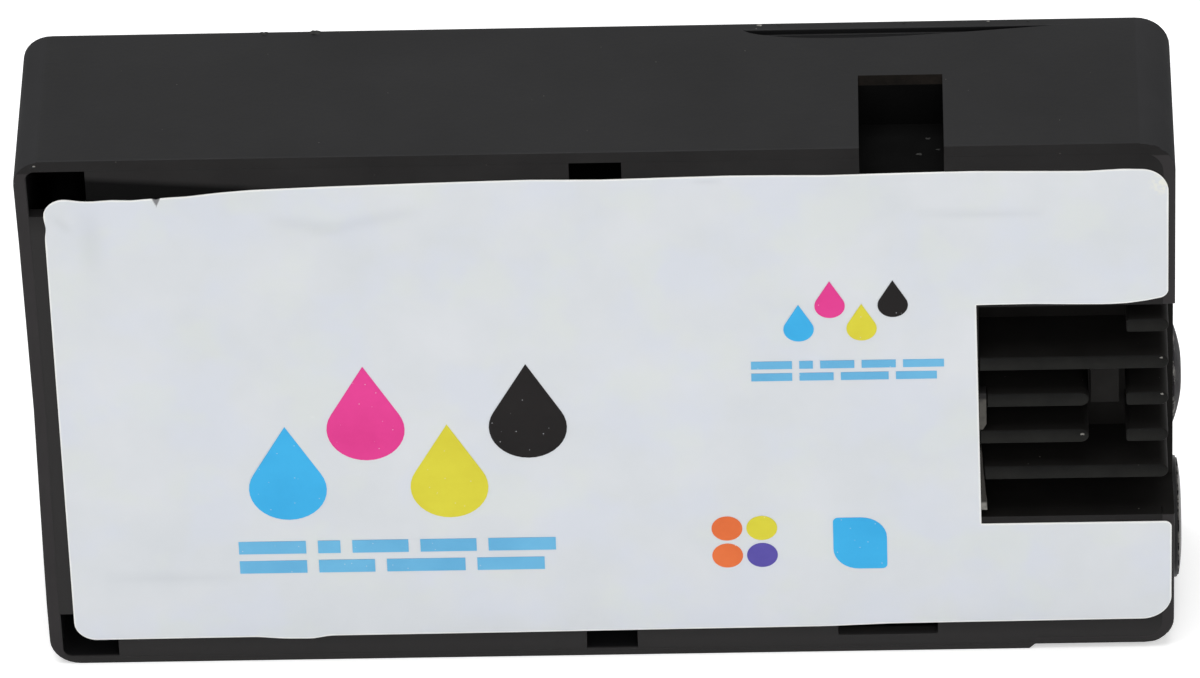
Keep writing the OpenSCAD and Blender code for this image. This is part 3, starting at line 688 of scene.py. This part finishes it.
def new_piece(name: str, mesh: Mesh, finishes: Iterable[Finish], body: Body,
              stands_for: Sequence[str] = ()) -> Thing:
    """Puts a mesh into the scene as a piece that rides on a body.

    Args:
        name: name of the piece.
        mesh: its mesh, in the row frame.
        finishes: one finish for each of its material slots.
        body: the body that it moves with.
        stands_for: CAD nodes that it replaces.

    Returns:
        The new object.
    """
    piece = put(name, mesh)
    mesh.materials.clear()
    for finish in finishes:
        mesh.materials.append(finish.build())
    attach(piece, body.value)
    if stands_for:
        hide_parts(*stands_for)
    LOG.info("%s: %d faces on %s", name, len(mesh.polygons), body.value)
    return piece


def from_grid(name: str, points: Array, keep: Optional[Array] = None,
              values: Optional[dict[str, Array]] = None) -> Mesh:
    """Makes a mesh of quads from a grid of points.

    Args:
        name: name of the mesh.
        points: rows by columns by three coordinates, in metres in the row frame. Seen from
            the front, rows run up and columns run right.
        keep: which quads stay, or None for all of them.
        values: attributes by name, one number for each grid point.

    Returns:
        The mesh.
    """
    rows, columns = points.shape[:2]
    index = np.arange(rows * columns).reshape(rows, columns)
    quads = np.stack([index[:-1, :-1], index[:-1, 1:], index[1:, 1:], index[1:, :-1]], -1)
    if keep is not None:
        quads = quads[keep]
    quads = quads.reshape(-1, 4)
    used, compact = np.unique(quads, return_inverse=True)
    mesh = bpy.data.meshes.new(name)
    mesh.from_pydata(points.reshape(-1, 3)[used].tolist(), [], compact.reshape(-1, 4).tolist())
    for key, value in (values or {}).items():
        layer = mesh.attributes.new(key, "FLOAT", "POINT")
        layer.data.foreach_set("value", value.reshape(-1)[used].astype(np.float32))
    mesh.update()
    return mesh


@dataclass(frozen=True)
class Zone:
    """A box in the corner frame, in millimetres, that marks faces or edges by their middle."""

    low: Point
    high: Point

    def holds(self, middles: Array) -> Array:
        """Tells for each middle, in metres in the row frame, whether it lies in the box."""
        return np.all((middles > place(self.low)) & (middles < place(self.high)), axis=-1)


Places = tuple[tuple[Zone, float], ...]


def soften(piece: Thing, width_mm: float, segments: int) -> None:
    """Rounds the weighted edges of a piece with a live bevel and evens its shading.

    Args:
        piece: the object, whose edges carry bevel weights.
        width_mm: width of the rounding at weight 1.
        segments: faces across the rounding.
    """
    bevel = piece.modifiers.new("rounding", "BEVEL")
    bevel.width = width_mm * MM
    bevel.segments = segments
    bevel.limit_method = "WEIGHT"
    bevel.use_clamp_overlap = False
    piece.data.shade_smooth()
    even = piece.modifiers.new("even_shading", "WEIGHTED_NORMAL")
    even.keep_sharp = True
    even.weight = 100


def thicken(piece: Thing, thick_mm: float) -> None:
    """Gives a sheet a live thickness behind its surface."""
    sheet = piece.modifiers.new("thickness", "SOLIDIFY")
    sheet.thickness, sheet.offset = thick_mm * MM, -1.0


def merged_copy(node: str, share: float = 0.0, places: Places = (),
                cuts: Places = ()) -> Mesh:
    """Copies a CAD node's mesh, merges its loose triangles, joins flat ones, weights edges.

    Args:
        node: name of the CAD node.
        share: bevel weight of its edges.
        places: places whose edges have another weight, the later ones over the earlier ones.
        cuts: places whose faces are split, each at a height in millimetres.

    Returns:
        The merged mesh, in the row frame.
    """
    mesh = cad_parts[node].data.copy()
    work = bmesh.new()
    work.from_mesh(mesh)
    bmesh.ops.remove_doubles(work, verts=work.verts, dist=SAME_SPOT)
    bmesh.ops.dissolve_limit(work, angle_limit=radians(FLAT_ANGLE), verts=work.verts,
                             edges=work.edges)
    for zone, height in cuts:
        inside = zone.holds(np.array([face.calc_center_median() for face in work.faces]))
        faces = [face for face, chosen in zip(work.faces, inside.tolist()) if chosen]
        parts = {part for face in faces for part in (*face.verts, *face.edges)}
        bmesh.ops.bisect_plane(work, geom=[*faces, *parts], dist=SAME_PLANE,
                               plane_co=(0.0, 0.0, height * MM), plane_no=(0.0, 0.0, 1.0))
    turn = np.array([edge.calc_face_angle(0.0) for edge in work.edges])
    middle = np.array([(edge.verts[0].co + edge.verts[1].co) / 2 for edge in work.edges])
    weight = np.full(len(turn), share)
    for zone, other in places:
        weight[zone.holds(middle)] = other
    weight = np.where(turn > radians(EDGE_ANGLE), weight, 0.0)
    layer = work.edges.layers.float.new("bevel_weight_edge")
    for edge, value in zip(work.edges, weight.tolist()):
        edge[layer] = value
    work.to_mesh(mesh)
    work.free()
    mesh.name = node + "_shape"
    return mesh


@dataclass(frozen=True)
class GripBow:
    """The grip end's slight bow: dx = -out(z) * (1 - s(x / reach)), with s the smoothstep.

    The moulding stands out a little towards its corners, most at the top. Between the
    stations, out(z) is interpolated.
    """

    heights: Floats = (0.0, 3.0, 8.0, 13.0, 23.0, 33.0, 43.5, 53.5, 57.0, 61.0, 64.0)
    out_mm: Floats = (0.16, 0.18, 0.22, 0.19, 0.1, 0.0, 0.09, 0.18, 0.22, 0.3, 0.4)
    reach: float = 8.0

    def shift(self, spots: Array) -> Array:
        """Works out how far the spots of the row frame, in metres, move along x.

        Args:
            spots: one row for each vertex.

        Returns:
            One value for each vertex, in metres.
        """
        local = (spots - corner()) / MM
        near = np.clip(local[:, 0] / self.reach, 0.0, 1.0)
        fade = 1.0 - near * near * (3.0 - 2.0 * near)
        return np.interp(local[:, 2], self.heights, self.out_mm) * fade * -MM


def front(low: float, high: float) -> Zone:
    """Returns the zone of the front face between two heights."""
    return Zone((-1.0, -0.05, low), (115.0, 0.05, high))


# Heights between which the rim is rubbed, and at which the front face is split for that
RUBBED = (1.2, 62.5)
GRIP_END = Zone((-1.0, -1.0, -1.0), (3.0, 22.0, 65.0))
GRIP_CUTS = tuple((GRIP_END, height) for height in GripBow.heights[2:8])


@dataclass
class Moulding:
    """A moulded part: its CAD shape with rubbed, rounded edges."""

    node: str
    finish: Finish
    slot: str
    rounding_mm: float = 0.12
    segments: int = 2
    body: Body = Body.CARTRIDGE
    # Places with a finish of their own, the later ones over the earlier ones
    zones: tuple[tuple[Zone, Finish], ...] = ()
    # Share of the rounding that edges have, at most 1, and places with a share of their own
    share: float = 1.0
    shares: Places = ()
    # Places whose faces are split at a height, and whether the grip end bows out
    cuts: Places = ()
    bowed: bool = False
    # Places whose vertices are moved along x, in millimetres
    moves: Places = ()

    def build(self) -> None:
        """Makes the rounded copy and hides the CAD node behind it."""
        mesh = merged_copy(self.node, self.share, self.shares, self.cuts)
        for zone, along in self.moves:
            slide(mesh, lambda spots: zone.holds(spots) * along * MM)
        if self.bowed:
            slide(mesh, GripBow().shift)
        piece = new_piece(self.node + "_moulding", mesh,
                          [self.finish, *(finish for _, finish in self.zones)],
                          self.body, (self.node,))
        middles = np.empty(len(mesh.polygons) * 3)
        mesh.polygons.foreach_get("center", middles)
        slots = np.zeros(len(mesh.polygons), np.int32)
        for i, (zone, _) in enumerate(self.zones):
            slots[zone.holds(middles.reshape(-1, 3))] = 1 + i
        mesh.polygons.foreach_set("material_index", slots)
        soften(piece, self.rounding_mm, self.segments)


HOUSING = Moulding(
    "housing", HOUSING_BLACK, "housing_black", rounding_mm=0.5, segments=3, bowed=True,
    cuts=(*((front(-1.0, 65.0), height) for height in reversed(RUBBED)), *GRIP_CUTS),
    zones=(
        # The top's corner at the grip end and the crown at the port end, painted paler in place of
        # their sheen
        (Zone((-1.0, 0.05, 61.5), (2.2, 20.9, 65.0)), CORNER_BLACK),
        (Zone((110.2, 0.05, 60.0), (115.0, 20.9, 65.0)), CORNER_BLACK),
        # The rim's rubbed height, and the rim below and above it
        (front(*RUBBED), RIM_BLACK),
        (front(-1.0, RUBBED[0]), LID_BLACK),
        (front(RUBBED[1], 65.0), LID_BLACK),
        # The key ribs' faces, the key recess, the latch pocket and its slanted edge; recess and
        # pocket painted darker as shade
        (Zone((94.0, -0.05, 17.4), (113.5, 0.05, 43.9)), RIB_BLACK),
        (Zone((94.1, 0.05, 16.5), (113.5, 8.0, 44.1)), RECESS_BLACK),
        (Zone((82.6, 0.05, 58.3), (91.1, 11.2, 63.9)), POCKET_BLACK),
        (Zone((82.6, 11.2, 63.2), (91.1, 12.0, 63.95)), SCRAPED_BLACK)),
    share=0.28,
    shares=(
        # Edges inside the rim, of the latch pocket, in the key recess and of the ribs' faces
        (Zone((1.0, -0.1, 0.7), (112.6, 0.1, 62.95)), 0.03),
        (Zone((82.5, -0.1, 58.0), (91.2, 12.1, 64.1)), 0.05),
        (Zone((94.0, 0.1, 16.5), (113.7, 8.5, 44.2)), 0.04),
        (Zone((94.1, -0.1, 17.4), (113.5, 0.1, 43.9)), 0.24),
        # Upright edges at the inner ends of the ribs' outer parts
        (Zone((108.7, 0.5, 25.0), (108.9, 6.5, 43.9)), 1.0)))
# The lid's edge under the key recess is dull, painted dark as shade; its slot's grip-side end is
# drawn in
SIDE_COVER = Moulding(
    "side_cover", LID_BLACK, "lid_black", rounding_mm=0.02, bowed=True, cuts=GRIP_CUTS,
    zones=((Zone((94.3, 0.02, 17.2), (113.0, 1.4, 17.4)), RECESS_BLACK),),
    moves=((Zone((78.3, -0.1, 2.1), (79.2, 1.4, 5.5)), 1.2),))


@dataclass(frozen=True)
class WeldFlash:
    """Plastic that the weld pressed up between the lid and the rim, a little under both.

    The joint is the path p(t, e), the rim's inside drawn in by e: arcs joined by straight
    lines. The strip is p(t, outer) and p(t, inner) joined by quads, sunk by depth, and
    Solidify gives it its thickness. It stops at the latch pocket and at the key recess,
    where the lid is cut away. All sizes are in millimetres in the corner frame.
    """

    outer: float = -0.02
    inner: float = 0.09
    depth: float = 0.012
    thick: float = 0.2
    wall: float = 1.2
    floor: float = 0.9
    length: float = 113.65
    height: float = 64.0
    # Arcs of the joint: middle x and z, radius and first angle, from the crown's at the port end
    arcs: tuple[Four, ...] = (
        (110.15, 60.5, 2.3, 0.0), (2.2, 61.8, 1.0, 90.0), (2.2, 1.9, 1.0, 180.0),
        (110.65, 3.3, 1.8, 270.0))
    # Heights of the key recess, and where the latch pocket starts and ends from the port end
    recess: Pair = (17.3, 44.0)
    pocket: Pair = (91.0, 82.7)
    # Where the lower edge steps up, and by how much
    step: Pair = (99.05, 0.6)
    arc_steps: int = 17

    def path(self, inset: float) -> tuple[Array, int]:
        """Returns the joint's points, from the recess's top round to its foot, and the gap.

        Args:
            inset: how far the path is drawn in from the rim.

        Returns:
            Points by two coordinates, and the number of the quad over the latch pocket.
        """
        def arc(x: float, z: float, radius: float, start: float) -> Array:
            """Returns a quarter circle anticlockwise from the angle start."""
            turn = np.radians(start + np.linspace(0.0, 90.0, self.arc_steps))
            return np.stack([x + (radius - inset) * np.cos(turn),
                             z + (radius - inset) * np.sin(turn)], -1)
        crown, upper, lower, foot = (arc(*values) for values in self.arcs)
        right, top = self.length - self.wall - inset, self.height - self.wall - inset
        run, rise = self.step
        side = [(self.wall + inset, height) for _, height in reversed(GRIP_CUTS)]
        parts = [[(right, self.recess[1])], crown, [(x, top) for x in self.pocket], upper, side,
                 lower, [(run, self.floor + inset), (run + rise, self.floor + rise + inset)],
                 foot, [(right, self.recess[0])]]
        return np.concatenate([np.asarray(part, float) for part in parts]), self.arc_steps + 1

    def build(self) -> None:
        """Makes the strip, bowed at the grip end as the mouldings are."""
        outer, gap = self.path(self.outer)
        inner, _ = self.path(self.inner)
        flat = np.stack([outer, inner])
        points = np.stack([flat[..., 0], np.full(flat.shape[:2], self.depth), flat[..., 1]], -1)
        keep = np.ones((1, len(outer) - 1), bool)
        keep[0, gap] = False
        mesh = from_grid("weld_flash", place(points), keep)
        slide(mesh, GripBow().shift)
        thicken(new_piece("weld_flash", mesh, [LID_BLACK], Body.CARTRIDGE),
                self.thick)


@dataclass(frozen=True)
class ReturnSpring:
    """The outlet valve's coil spring, which the plunger shortens as the needle pushes it in."""

    node: str = "valve_spring"
    joint: str = "valve_slide"
    travel: float = 2.5

    def build(self) -> None:
        """Makes the coil from its CAD shape."""
        mesh = merged_copy(self.node)
        mesh.shade_smooth()
        coil = new_piece("valve_spring_coil", mesh, [SPRING_STEEL], Body.CARTRIDGE,
                         (self.node,))
        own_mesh(coil)


@dataclass
class SpecksAndGlints:
    """Bits of lint, or of the mould's flash, that stick to the surface; some stand where glints
    show, and their pale colour there is a painted glint.

    Each bit is a lump r(u, v) = size * (1 + uneven sin(3u + k) sin(2v + k)), flattened on the
    face that carries it, with u round it, v from pole to pole and k its own number.
    """

    name: str
    finish: Finish
    slot: str
    # Middle in the corner frame, half length, half height, and the axis it is flat along
    bits: tuple[tuple[float, float, float, float, float, int], ...]
    uneven: float = 0.35
    width_share: float = 0.6
    round_steps: int = 14
    pole_steps: int = 8
    pole_gap: float = 0.02

    def build(self) -> None:
        """Makes all the bits as one piece."""
        u = np.linspace(0.0, tau, self.round_steps, endpoint=False)
        v = np.linspace(self.pole_gap, np.pi - self.pole_gap, self.pole_steps)
        around, down = np.meshgrid(u, v)
        points, faces = [], []
        index = np.arange(around.size).reshape(around.shape)
        after = np.roll(index, -1, axis=1)
        quads = np.stack([index[:-1], index[1:], after[1:], after[:-1]], -1).reshape(-1, 4)
        caps = [index[0].tolist(), index[-1][::-1].tolist()]
        for k, (x, y, z, length, height, flat) in enumerate(self.bits):
            wobble = 1.0 + self.uneven * np.sin(3 * around + k) * np.sin(2 * down + k)
            ball = np.stack([np.sin(down) * np.cos(around), np.sin(down) * np.sin(around),
                             np.cos(down)], -1) * wobble[..., None]
            size = length * np.array([1.0, self.width_share, self.width_share])
            size[flat] = height
            start = k * around.size
            points.append(place(ball * size + (x, y, z)).reshape(-1, 3))
            faces += (quads + start).tolist() + [[i + start for i in cap] for cap in caps]
        mesh = bpy.data.meshes.new(self.name)
        mesh.from_pydata(np.concatenate(points).tolist(), [], faces)
        mesh.update()
        mesh.shade_smooth()
        new_piece(self.name, mesh, [self.finish], Body.CARTRIDGE)


# The two bits at the ribs' port ends stand where glints show: their pale colour is a painted glint
LINT_AND_GLINT_BITS = ((104.45, 0.0, 27.75, 0.20, 0.10, 1), (112.3, 0.0, 37.3, 0.15, 0.08, 1),
             (112.4, 0.0, 32.7, 0.16, 0.08, 1), (1.9, 0.0, 63.45, 0.14, 0.04, 1),
             (73.0, 20.4, 64.0, 0.26, 0.06, 2), (95.7, 20.4, 64.0, 0.15, 0.05, 2))
# The first three bits, in the latch pocket, stand where glints show: their pale colour is a
# painted glint
FLASH_AND_GLINT_BITS = ((89.5, 8.7, 58.4, 0.26, 0.08, 2), (88.6, 6.2, 58.4, 0.30, 0.06, 2),
              (90.5, 6.9, 58.4, 0.22, 0.06, 2), (23.8, 20.45, 63.95, 0.38, 0.2, 2),
              (28.9, 20.45, 63.95, 0.62, 0.2, 2), (75.0, 20.4, 64.0, 0.22, 0.08, 2),
              (87.3, 20.4, 64.0, 0.15, 0.08, 2), (99.6, 20.4, 64.0, 0.15, 0.08, 2))


@dataclass
class Label:
    """The adhesive label: a thin sheet with wavy cut edges, light creases and one nick.

    Its surface is y(x, z) = -thickness - relief, with x along the cartridge and z up. The
    grid has four guide lines over x: lower edge, lower and upper edge of the cut-out, and
    upper edge. Between two of them the rows lie at low + (high - low)(1 - cos t) / 2, with t
    from 0 to half a turn, and so closer together beside the edges.
    """

    left: float = 2.45
    right: float = 113.38
    thickness: float = 0.13
    glue: float = 0.015
    # The port-side edge leans back by skew over the heights skew_z, from the station skew_x on
    skew: float = 0.42
    skew_z: Pair = (17.0, 44.0)
    skew_x: float = 104.0
    # The cut-out's foot, and its side, which leans and takes the columns in lean_reach along
    cut_low: float = 16.46
    cut_foot_x: float = 94.3
    cut_head_x: float = 94.0
    lean_reach: float = 2.5
    # Height of the edges at stations along the cartridge
    top_x: Floats = (2.0, 4.8, 6.2, 7.2, 9.2, 11.3, 12.6, 13.7, 15.2, 16.6, 18.0,
                                20.0, 23.0, 30.3, 40.1, 50.0, 57.3, 69.6, 74.4, 79.3, 86.7,
                                94.0, 101.4, 105.0, 108.7, 111.1, 114.0)
    top_z: Floats = (59.35, 59.32, 59.08, 59.04, 59.2, 59.1, 59.25, 59.28, 59.4,
                                59.46, 59.64, 59.88, 60.13, 60.4, 60.63, 60.82, 60.7, 60.92,
                                60.88, 60.78, 60.87, 60.97, 60.82, 60.76, 60.95, 60.85, 60.8)
    foot_x: Floats = (2.0, 6.0, 21.0, 23.6, 26.6, 28.2, 40.0, 60.0, 78.9, 84.9, 93.0,
                                 109.0, 114.0)
    foot_z: Floats = (3.17, 3.2, 3.24, 2.98, 2.93, 3.28, 3.3, 3.4, 3.5, 3.7, 3.76,
                                 3.82, 3.85)
    head_x: Floats = (90.0, 96.0, 99.5, 104.0, 107.0, 109.2, 111.2, 112.6, 114.0)
    head_z: Floats = (44.3, 44.38, 44.39, 44.26, 44.22, 44.32, 44.63, 44.95, 45.3)
    # Corner radii: upper and lower at the grip end, upper and lower at the port end
    radii: Four = (2.1, 2.3, 2.7, 3.0)
    tab_radius: float = 0.7
    lobe_radius: float = 0.8
    nick_x: float = 13.65
    nick_depth: float = 0.8
    nick_half: float = 0.4
    nick_notch: float = 0.12
    nick_blur: float = 0.1
    # Dent of the grip-side edge under its corner: height, half height, depth and reach
    dent: Four = (55.8, 0.8, 0.16, 1.2)
    rim_width: float = 0.22
    rim_drop: float = 0.02
    # Creases: x and height of both ends, width and height of the ridge
    creases: tuple[Floats, ...] = (
        (25.0, 56.4, 31.5, 55.1, 0.8, 0.035), (29.5, 55.0, 39.0, 57.3, 0.8, 0.035),
        (88.5, 55.95, 100.5, 55.75, 0.5, 0.08), (6.7, 11.3, 18.9, 11.1, 0.7, 0.035),
        (6.8, 58.0, 7.0, 50.0, 1.2, 0.03), (3.4, 57.2, 5.0, 55.4, 0.5, 0.04),
        (66.5, 60.4, 69.0, 60.3, 0.3, 0.05))
    # Columns: pitch, least distance and the reach of the close ones at each end. Rows under,
    # beside and over the cut-out.
    step: float = 0.62
    least_step: float = 0.012
    end_reach: float = 3.4
    rows: tuple[int, int, int] = (32, 60, 42)

    def stations(self) -> Array:
        """Returns the columns' x, close together at both ends, the nick and the cut-out."""
        even = np.arange(self.left, self.right, self.step)
        ends = [edge + sign * self.end_reach * (1 - np.cos(np.linspace(0, np.pi / 2, 22)))
                for edge, sign in ((self.left, 1), (self.right, -1))]
        nick = self.nick_x + 1.5 * self.nick_half * np.linspace(-1.0, 1.0, 17)
        cut = self.cut_foot_x + np.array([-0.45, -0.3, -0.2, -0.1, 0.0, 0.15, 0.3])
        raw = np.sort(np.concatenate([even, *ends, nick, cut]))
        return raw[np.concatenate([[True], np.diff(raw) > self.least_step])]

    @staticmethod
    def rounding(x: Array, end: float, sign: int, radius: float) -> Array:
        """Returns how far a corner arc draws the edge in: r - sqrt(r^2 - d^2)."""
        reach = np.clip(radius - sign * (x - end), 0.0, radius)
        return radius - np.sqrt(np.maximum(radius ** 2 - reach ** 2, 0.0))

    def edges(self, x: Array) -> list[Array]:
        """Returns the four guide lines at the stations x, from the lowest up.

        Args:
            x: the stations.

        Returns:
            The heights of each line at the stations.
        """
        def smooth(px: Sequence[float], pz: Sequence[float]) -> Array:
            """Returns the heights of a measured edge at x, with its bends softened."""
            fine = np.linspace(px[0], px[-1], 600)
            value = np.interp(fine, px, pz)
            kernel = np.hanning(9) / np.hanning(9).sum()
            padded = np.pad(value, 4, mode="edge")
            return np.interp(x, fine, np.convolve(padded, kernel, "valid"))
        left = [self.rounding(x, self.left, 1, radius) for radius in self.radii[:2]]
        right = [self.rounding(x, self.right, -1, radius)
                 for radius in (*self.radii[2:], self.tab_radius, self.lobe_radius)]
        notch = np.clip(1.0 - np.abs(x - self.nick_x) / self.nick_half, 0.0, 1.0)
        top = smooth(self.top_x, self.top_z) - left[0] - right[0] - self.nick_notch * notch
        foot = smooth(self.foot_x, self.foot_z) + left[1] + right[1]
        head = np.where(x < self.head_x[0], self.head_z[0], smooth(self.head_x, self.head_z))
        return [foot, self.cut_low - right[2], head + right[3], top]

    def relief(self, x: Array, z: Array) -> tuple[Array, Array]:
        """Returns the sheet's height over its flat level in millimetres, and the crease mark.

        The height is 0.012 sin(x / 9 + 0.6) sin(z / 7) + 0.008 sin(x / 3.7 + z / 5.1) and the
        creases, each a narrow Gaussian ridge along a segment. The mark is the sum of the
        ridges alone, each from 0 to 1.

        Args:
            x: where along the cartridge, in millimetres, for each grid point.
            z: how high, likewise.

        Returns:
            The height and the mark of each grid point.
        """
        total = 0.012 * np.sin(x / 9.0 + 0.6) * np.sin(z / 7.0) + 0.008 * np.sin(x / 3.7 + z / 5.1)
        mark = np.zeros_like(total)
        for x0, z0, x1, z1, width, height in self.creases:
            length = np.hypot(x1 - x0, z1 - z0)
            ux, uz = (x1 - x0) / length, (z1 - z0) / length
            along = np.clip(((x - x0) * ux + (z - z0) * uz) / length, 0.0, 1.0)
            off = np.hypot(x - x0 - along * length * ux, z - z0 - along * length * uz)
            fade = np.sin(np.pi * np.clip(along * 0.92 + 0.04, 0.0, 1.0)) ** 0.5
            ridge = fade * np.exp(-(off / width) ** 2)
            total, mark = total + height * ridge, mark + ridge
        return total, np.clip(mark, 0.0, 1.0)

    def build(self) -> None:
        """Makes the sheet and hides the plain CAD label behind it."""
        x = self.stations()
        bottom, low, high, top = guides = self.edges(x)
        rows = []
        for under, over, count in zip(guides[:-1], guides[1:], self.rows):
            turn = np.linspace(0.0, np.pi, count, endpoint=False)[:, None]
            rows.append(under + (over - under) * (0.5 - 0.5 * np.cos(turn)))
        z = np.concatenate([*rows, top[None]])
        column = int(np.argmin(np.abs(x - self.cut_foot_x)))
        lean = (self.cut_head_x - self.cut_foot_x) * np.clip(
            (z - self.cut_low) / (self.head_z[0] - self.cut_low), 0.0, 1.0)
        near = np.exp(-((x - x[column]) / self.lean_reach) ** 2)
        slant = self.skew * np.clip((z - self.skew_z[0]) / np.ptp(self.skew_z), 0.0, 1.0)
        outer = np.clip((x - self.skew_x) / (self.right - self.skew_x), 0.0, 1.0)
        dent_z, dent_half, dent_in, dent_reach = self.dent
        dent = dent_in * np.exp(-((z - dent_z) / dent_half) ** 2)
        across = x + lean * near - slant * outer
        across = across + dent * np.exp(-((x - self.left) / dent_reach) ** 2)
        # Distance from the nearest edge, where the cut-out's edges count only beside it
        side = across[:, column][:, None]
        beside = (z >= self.cut_low - 1e-6) & (z <= high + 1e-6)
        distance = np.minimum.reduce([
            z - bottom, top - z, across - self.left, self.right - slant - across,
            np.where(beside, np.abs(across - side), np.inf),
            np.where(across >= side, np.minimum(np.abs(low - z), np.abs(z - high)), np.inf)])
        rim = np.clip(1.0 - distance / self.rim_width, 0.0, 1.0)
        height, crease = self.relief(across, z)
        y = -self.thickness - height + self.rim_drop * rim ** 2
        width = self.nick_half * (1.0 - (top - z) / self.nick_depth)
        nick = np.clip((width - np.abs(across - self.nick_x)) / self.nick_blur + 0.5, 0.0, 1.0)
        keep = np.ones((len(z) - 1, len(x) - 1), bool)
        keep[self.rows[0]:sum(self.rows[:2]), column:] = False
        mesh = from_grid("label_sheet", place(np.stack([across, y, z], -1)), keep,
                         {"rim": rim, "crease": crease, "nick": nick})
        mesh.shade_smooth()
        thicken(new_piece("label_sheet", mesh, [PAPER], Body.CARTRIDGE,
                          ("label",)), self.thickness - self.glue)


# Stage, light and camera


@dataclass(frozen=True)
class Studio:
    """A pale floor without a horizon, soft lamps and an even pale surround."""

    floor_tone: str = "F4F4F4"
    floor_size: float = 6.0
    floor_glow: float = 0.42
    target: Point = (0.0, 0.0, 0.03)
    # Each lamp: name, place and size in metres, and power in watts
    lamps: tuple[tuple[str, Point, float, float], ...] = (
        ("key", (-0.1, 0.0, 0.95), 0.8, 6.1), ("fill", (0.15, -0.9, 0.45), 0.9, 3.65))
    surround: float = 0.5

    def build(self) -> None:
        """Makes the floor, the world and the lamps."""
        self.floor()
        self.world()
        for name, spot, size, watts in self.lamps:
            data = bpy.data.lights.new(name, "AREA")
            data.shape, data.size, data.energy = "SQUARE", size, watts
            lamp = put(name, data)
            lamp.location = spot
            aim = Vector(self.target) - Vector(spot)
            lamp.rotation_euler = aim.to_track_quat("-Z", "Y").to_euler()

    def floor(self) -> None:
        """Makes the floor, which keeps the shadow and shows white to the camera."""
        half = self.floor_size / 2
        mesh = bpy.data.meshes.new("floor")
        mesh.from_pydata([(-half, -half, 0.0), (half, -half, 0.0), (half, half, 0.0),
                          (-half, half, 0.0)], [], [(0, 1, 2, 3)])
        material = bpy.data.materials.new("matt_paper_floor")
        graph = Graph(material)
        matt = graph.add("BsdfDiffuse", {"Color": linear(self.floor_tone)})
        glow = graph.add("Emission", {"Color": (1.0, 1.0, 1.0, 1.0),
                                      "Strength": graph.times(graph.seen(), self.floor_glow)})
        both = graph.add("AddShader", {0: matt.outputs[0], 1: glow.outputs[0]})
        graph.add("OutputMaterial", {"Surface": both.outputs[0]})
        mesh.materials.append(material)
        floor = put("floor", mesh)

    def world(self) -> None:
        """Makes the surround: white to the camera and in reflections, softer as a light."""
        world = bpy.data.worlds.new("surround")
        bpy.context.scene.world = world
        graph = Graph(world)
        level = graph.span(graph.seen(), 0.0, 1.0, self.surround, 1.0)
        light = graph.add("Background", {"Strength": level})
        graph.add("OutputWorld", {"Surface": light.outputs[0]})


@dataclass(frozen=True)
class PhotoCamera:
    """The camera of the photograph, from a fit to its edges at 1200 x 678 pixels.

    Its axes are right, up and back. It stands at back * distance - right * side - up * rise
    from the middle of the housing, which the corner frame gives, all in millimetres.
    """

    azimuth: float = 1.934
    elevation: float = 38.151
    roll: float = -2.139
    distance: float = 1105.85
    side: float = 0.407
    rise: float = -0.420
    focal_px: float = 11022.84
    image_px: int = 1200
    film_mm: float = 36.0
    middle: Point = (56.75, 10.5, 32.0)

    def build(self) -> None:
        """Makes the camera and makes it the scene's own."""
        a, e, r = (radians(v) for v in (self.azimuth, self.elevation, self.roll))
        back = Vector((np.sin(a) * np.cos(e), -np.cos(a) * np.cos(e), np.sin(e)))
        level = Vector((np.cos(a), np.sin(a), 0.0))
        over = back.cross(level)
        right = level * np.cos(r) + over * np.sin(r)
        up = over * np.cos(r) - level * np.sin(r)
        centre = Vector(place(self.middle) / MM)
        spot = centre + back * self.distance - right * self.side - up * self.rise
        data = bpy.data.cameras.new("photo")
        data.sensor_width = self.film_mm
        data.lens = self.focal_px * self.film_mm / self.image_px
        data.clip_start, data.clip_end = 0.05, 20.0
        camera = put("photo", data)
        turn = Matrix((right, up, back)).transposed().to_4x4()
        camera.matrix_world = Matrix.Translation(spot * MM) @ turn
        bpy.context.scene.camera = camera


def dress(node: str, finish: Finish) -> None:
    """Gives a CAD node that stays its procedural finish.

    Args:
        node: name of the CAD node.
        finish: its finish.
    """
    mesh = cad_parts[node].data
    if not mesh.materials:
        mesh.materials.append(None)
    for i in range(len(mesh.materials)):
        mesh.materials[i] = finish.build()
    LOG.info("%s: finish %s", node, finish.name)


def main() -> None:
    """Builds the camera, the studio and every sub-assembly, in order."""
    logging.basicConfig(level=logging.INFO, format="%(name)s: %(message)s")
    bpy.context.scene.view_settings.view_transform = "Standard"
    PhotoCamera().build()
    Studio().build()
    HOUSING.build()
    SIDE_COVER.build()
    WeldFlash().build()
    Label().build()
    SpecksAndGlints("lint_and_glint_bits", LINT_AND_GLINT, "label_white", LINT_AND_GLINT_BITS).build()
    SpecksAndGlints("mould_flash_and_glints", FLASH_AND_GLINT, "housing_black", FLASH_AND_GLINT_BITS).build()
    for ink, finish in INKS.items():
        dress("print_" + ink, finish)
    Moulding("outlet_seal", SILICONE, "silicone_clear", 0.15).build()
    Moulding("seal_cap", RING_BLACK, "ring_black", 0.15).build()
    Moulding("air_seal", GROMMET_BLACK, "grommet_black", 0.15).build()
    Moulding("valve_plunger", ACETAL, "plunger_natural", 0.1, body=Body.VALVE).build()
    ReturnSpring().build()
    for node, finish in INNER_FINISHES.items():
        dress(node, finish)


if __name__ == "__main__":
    main()
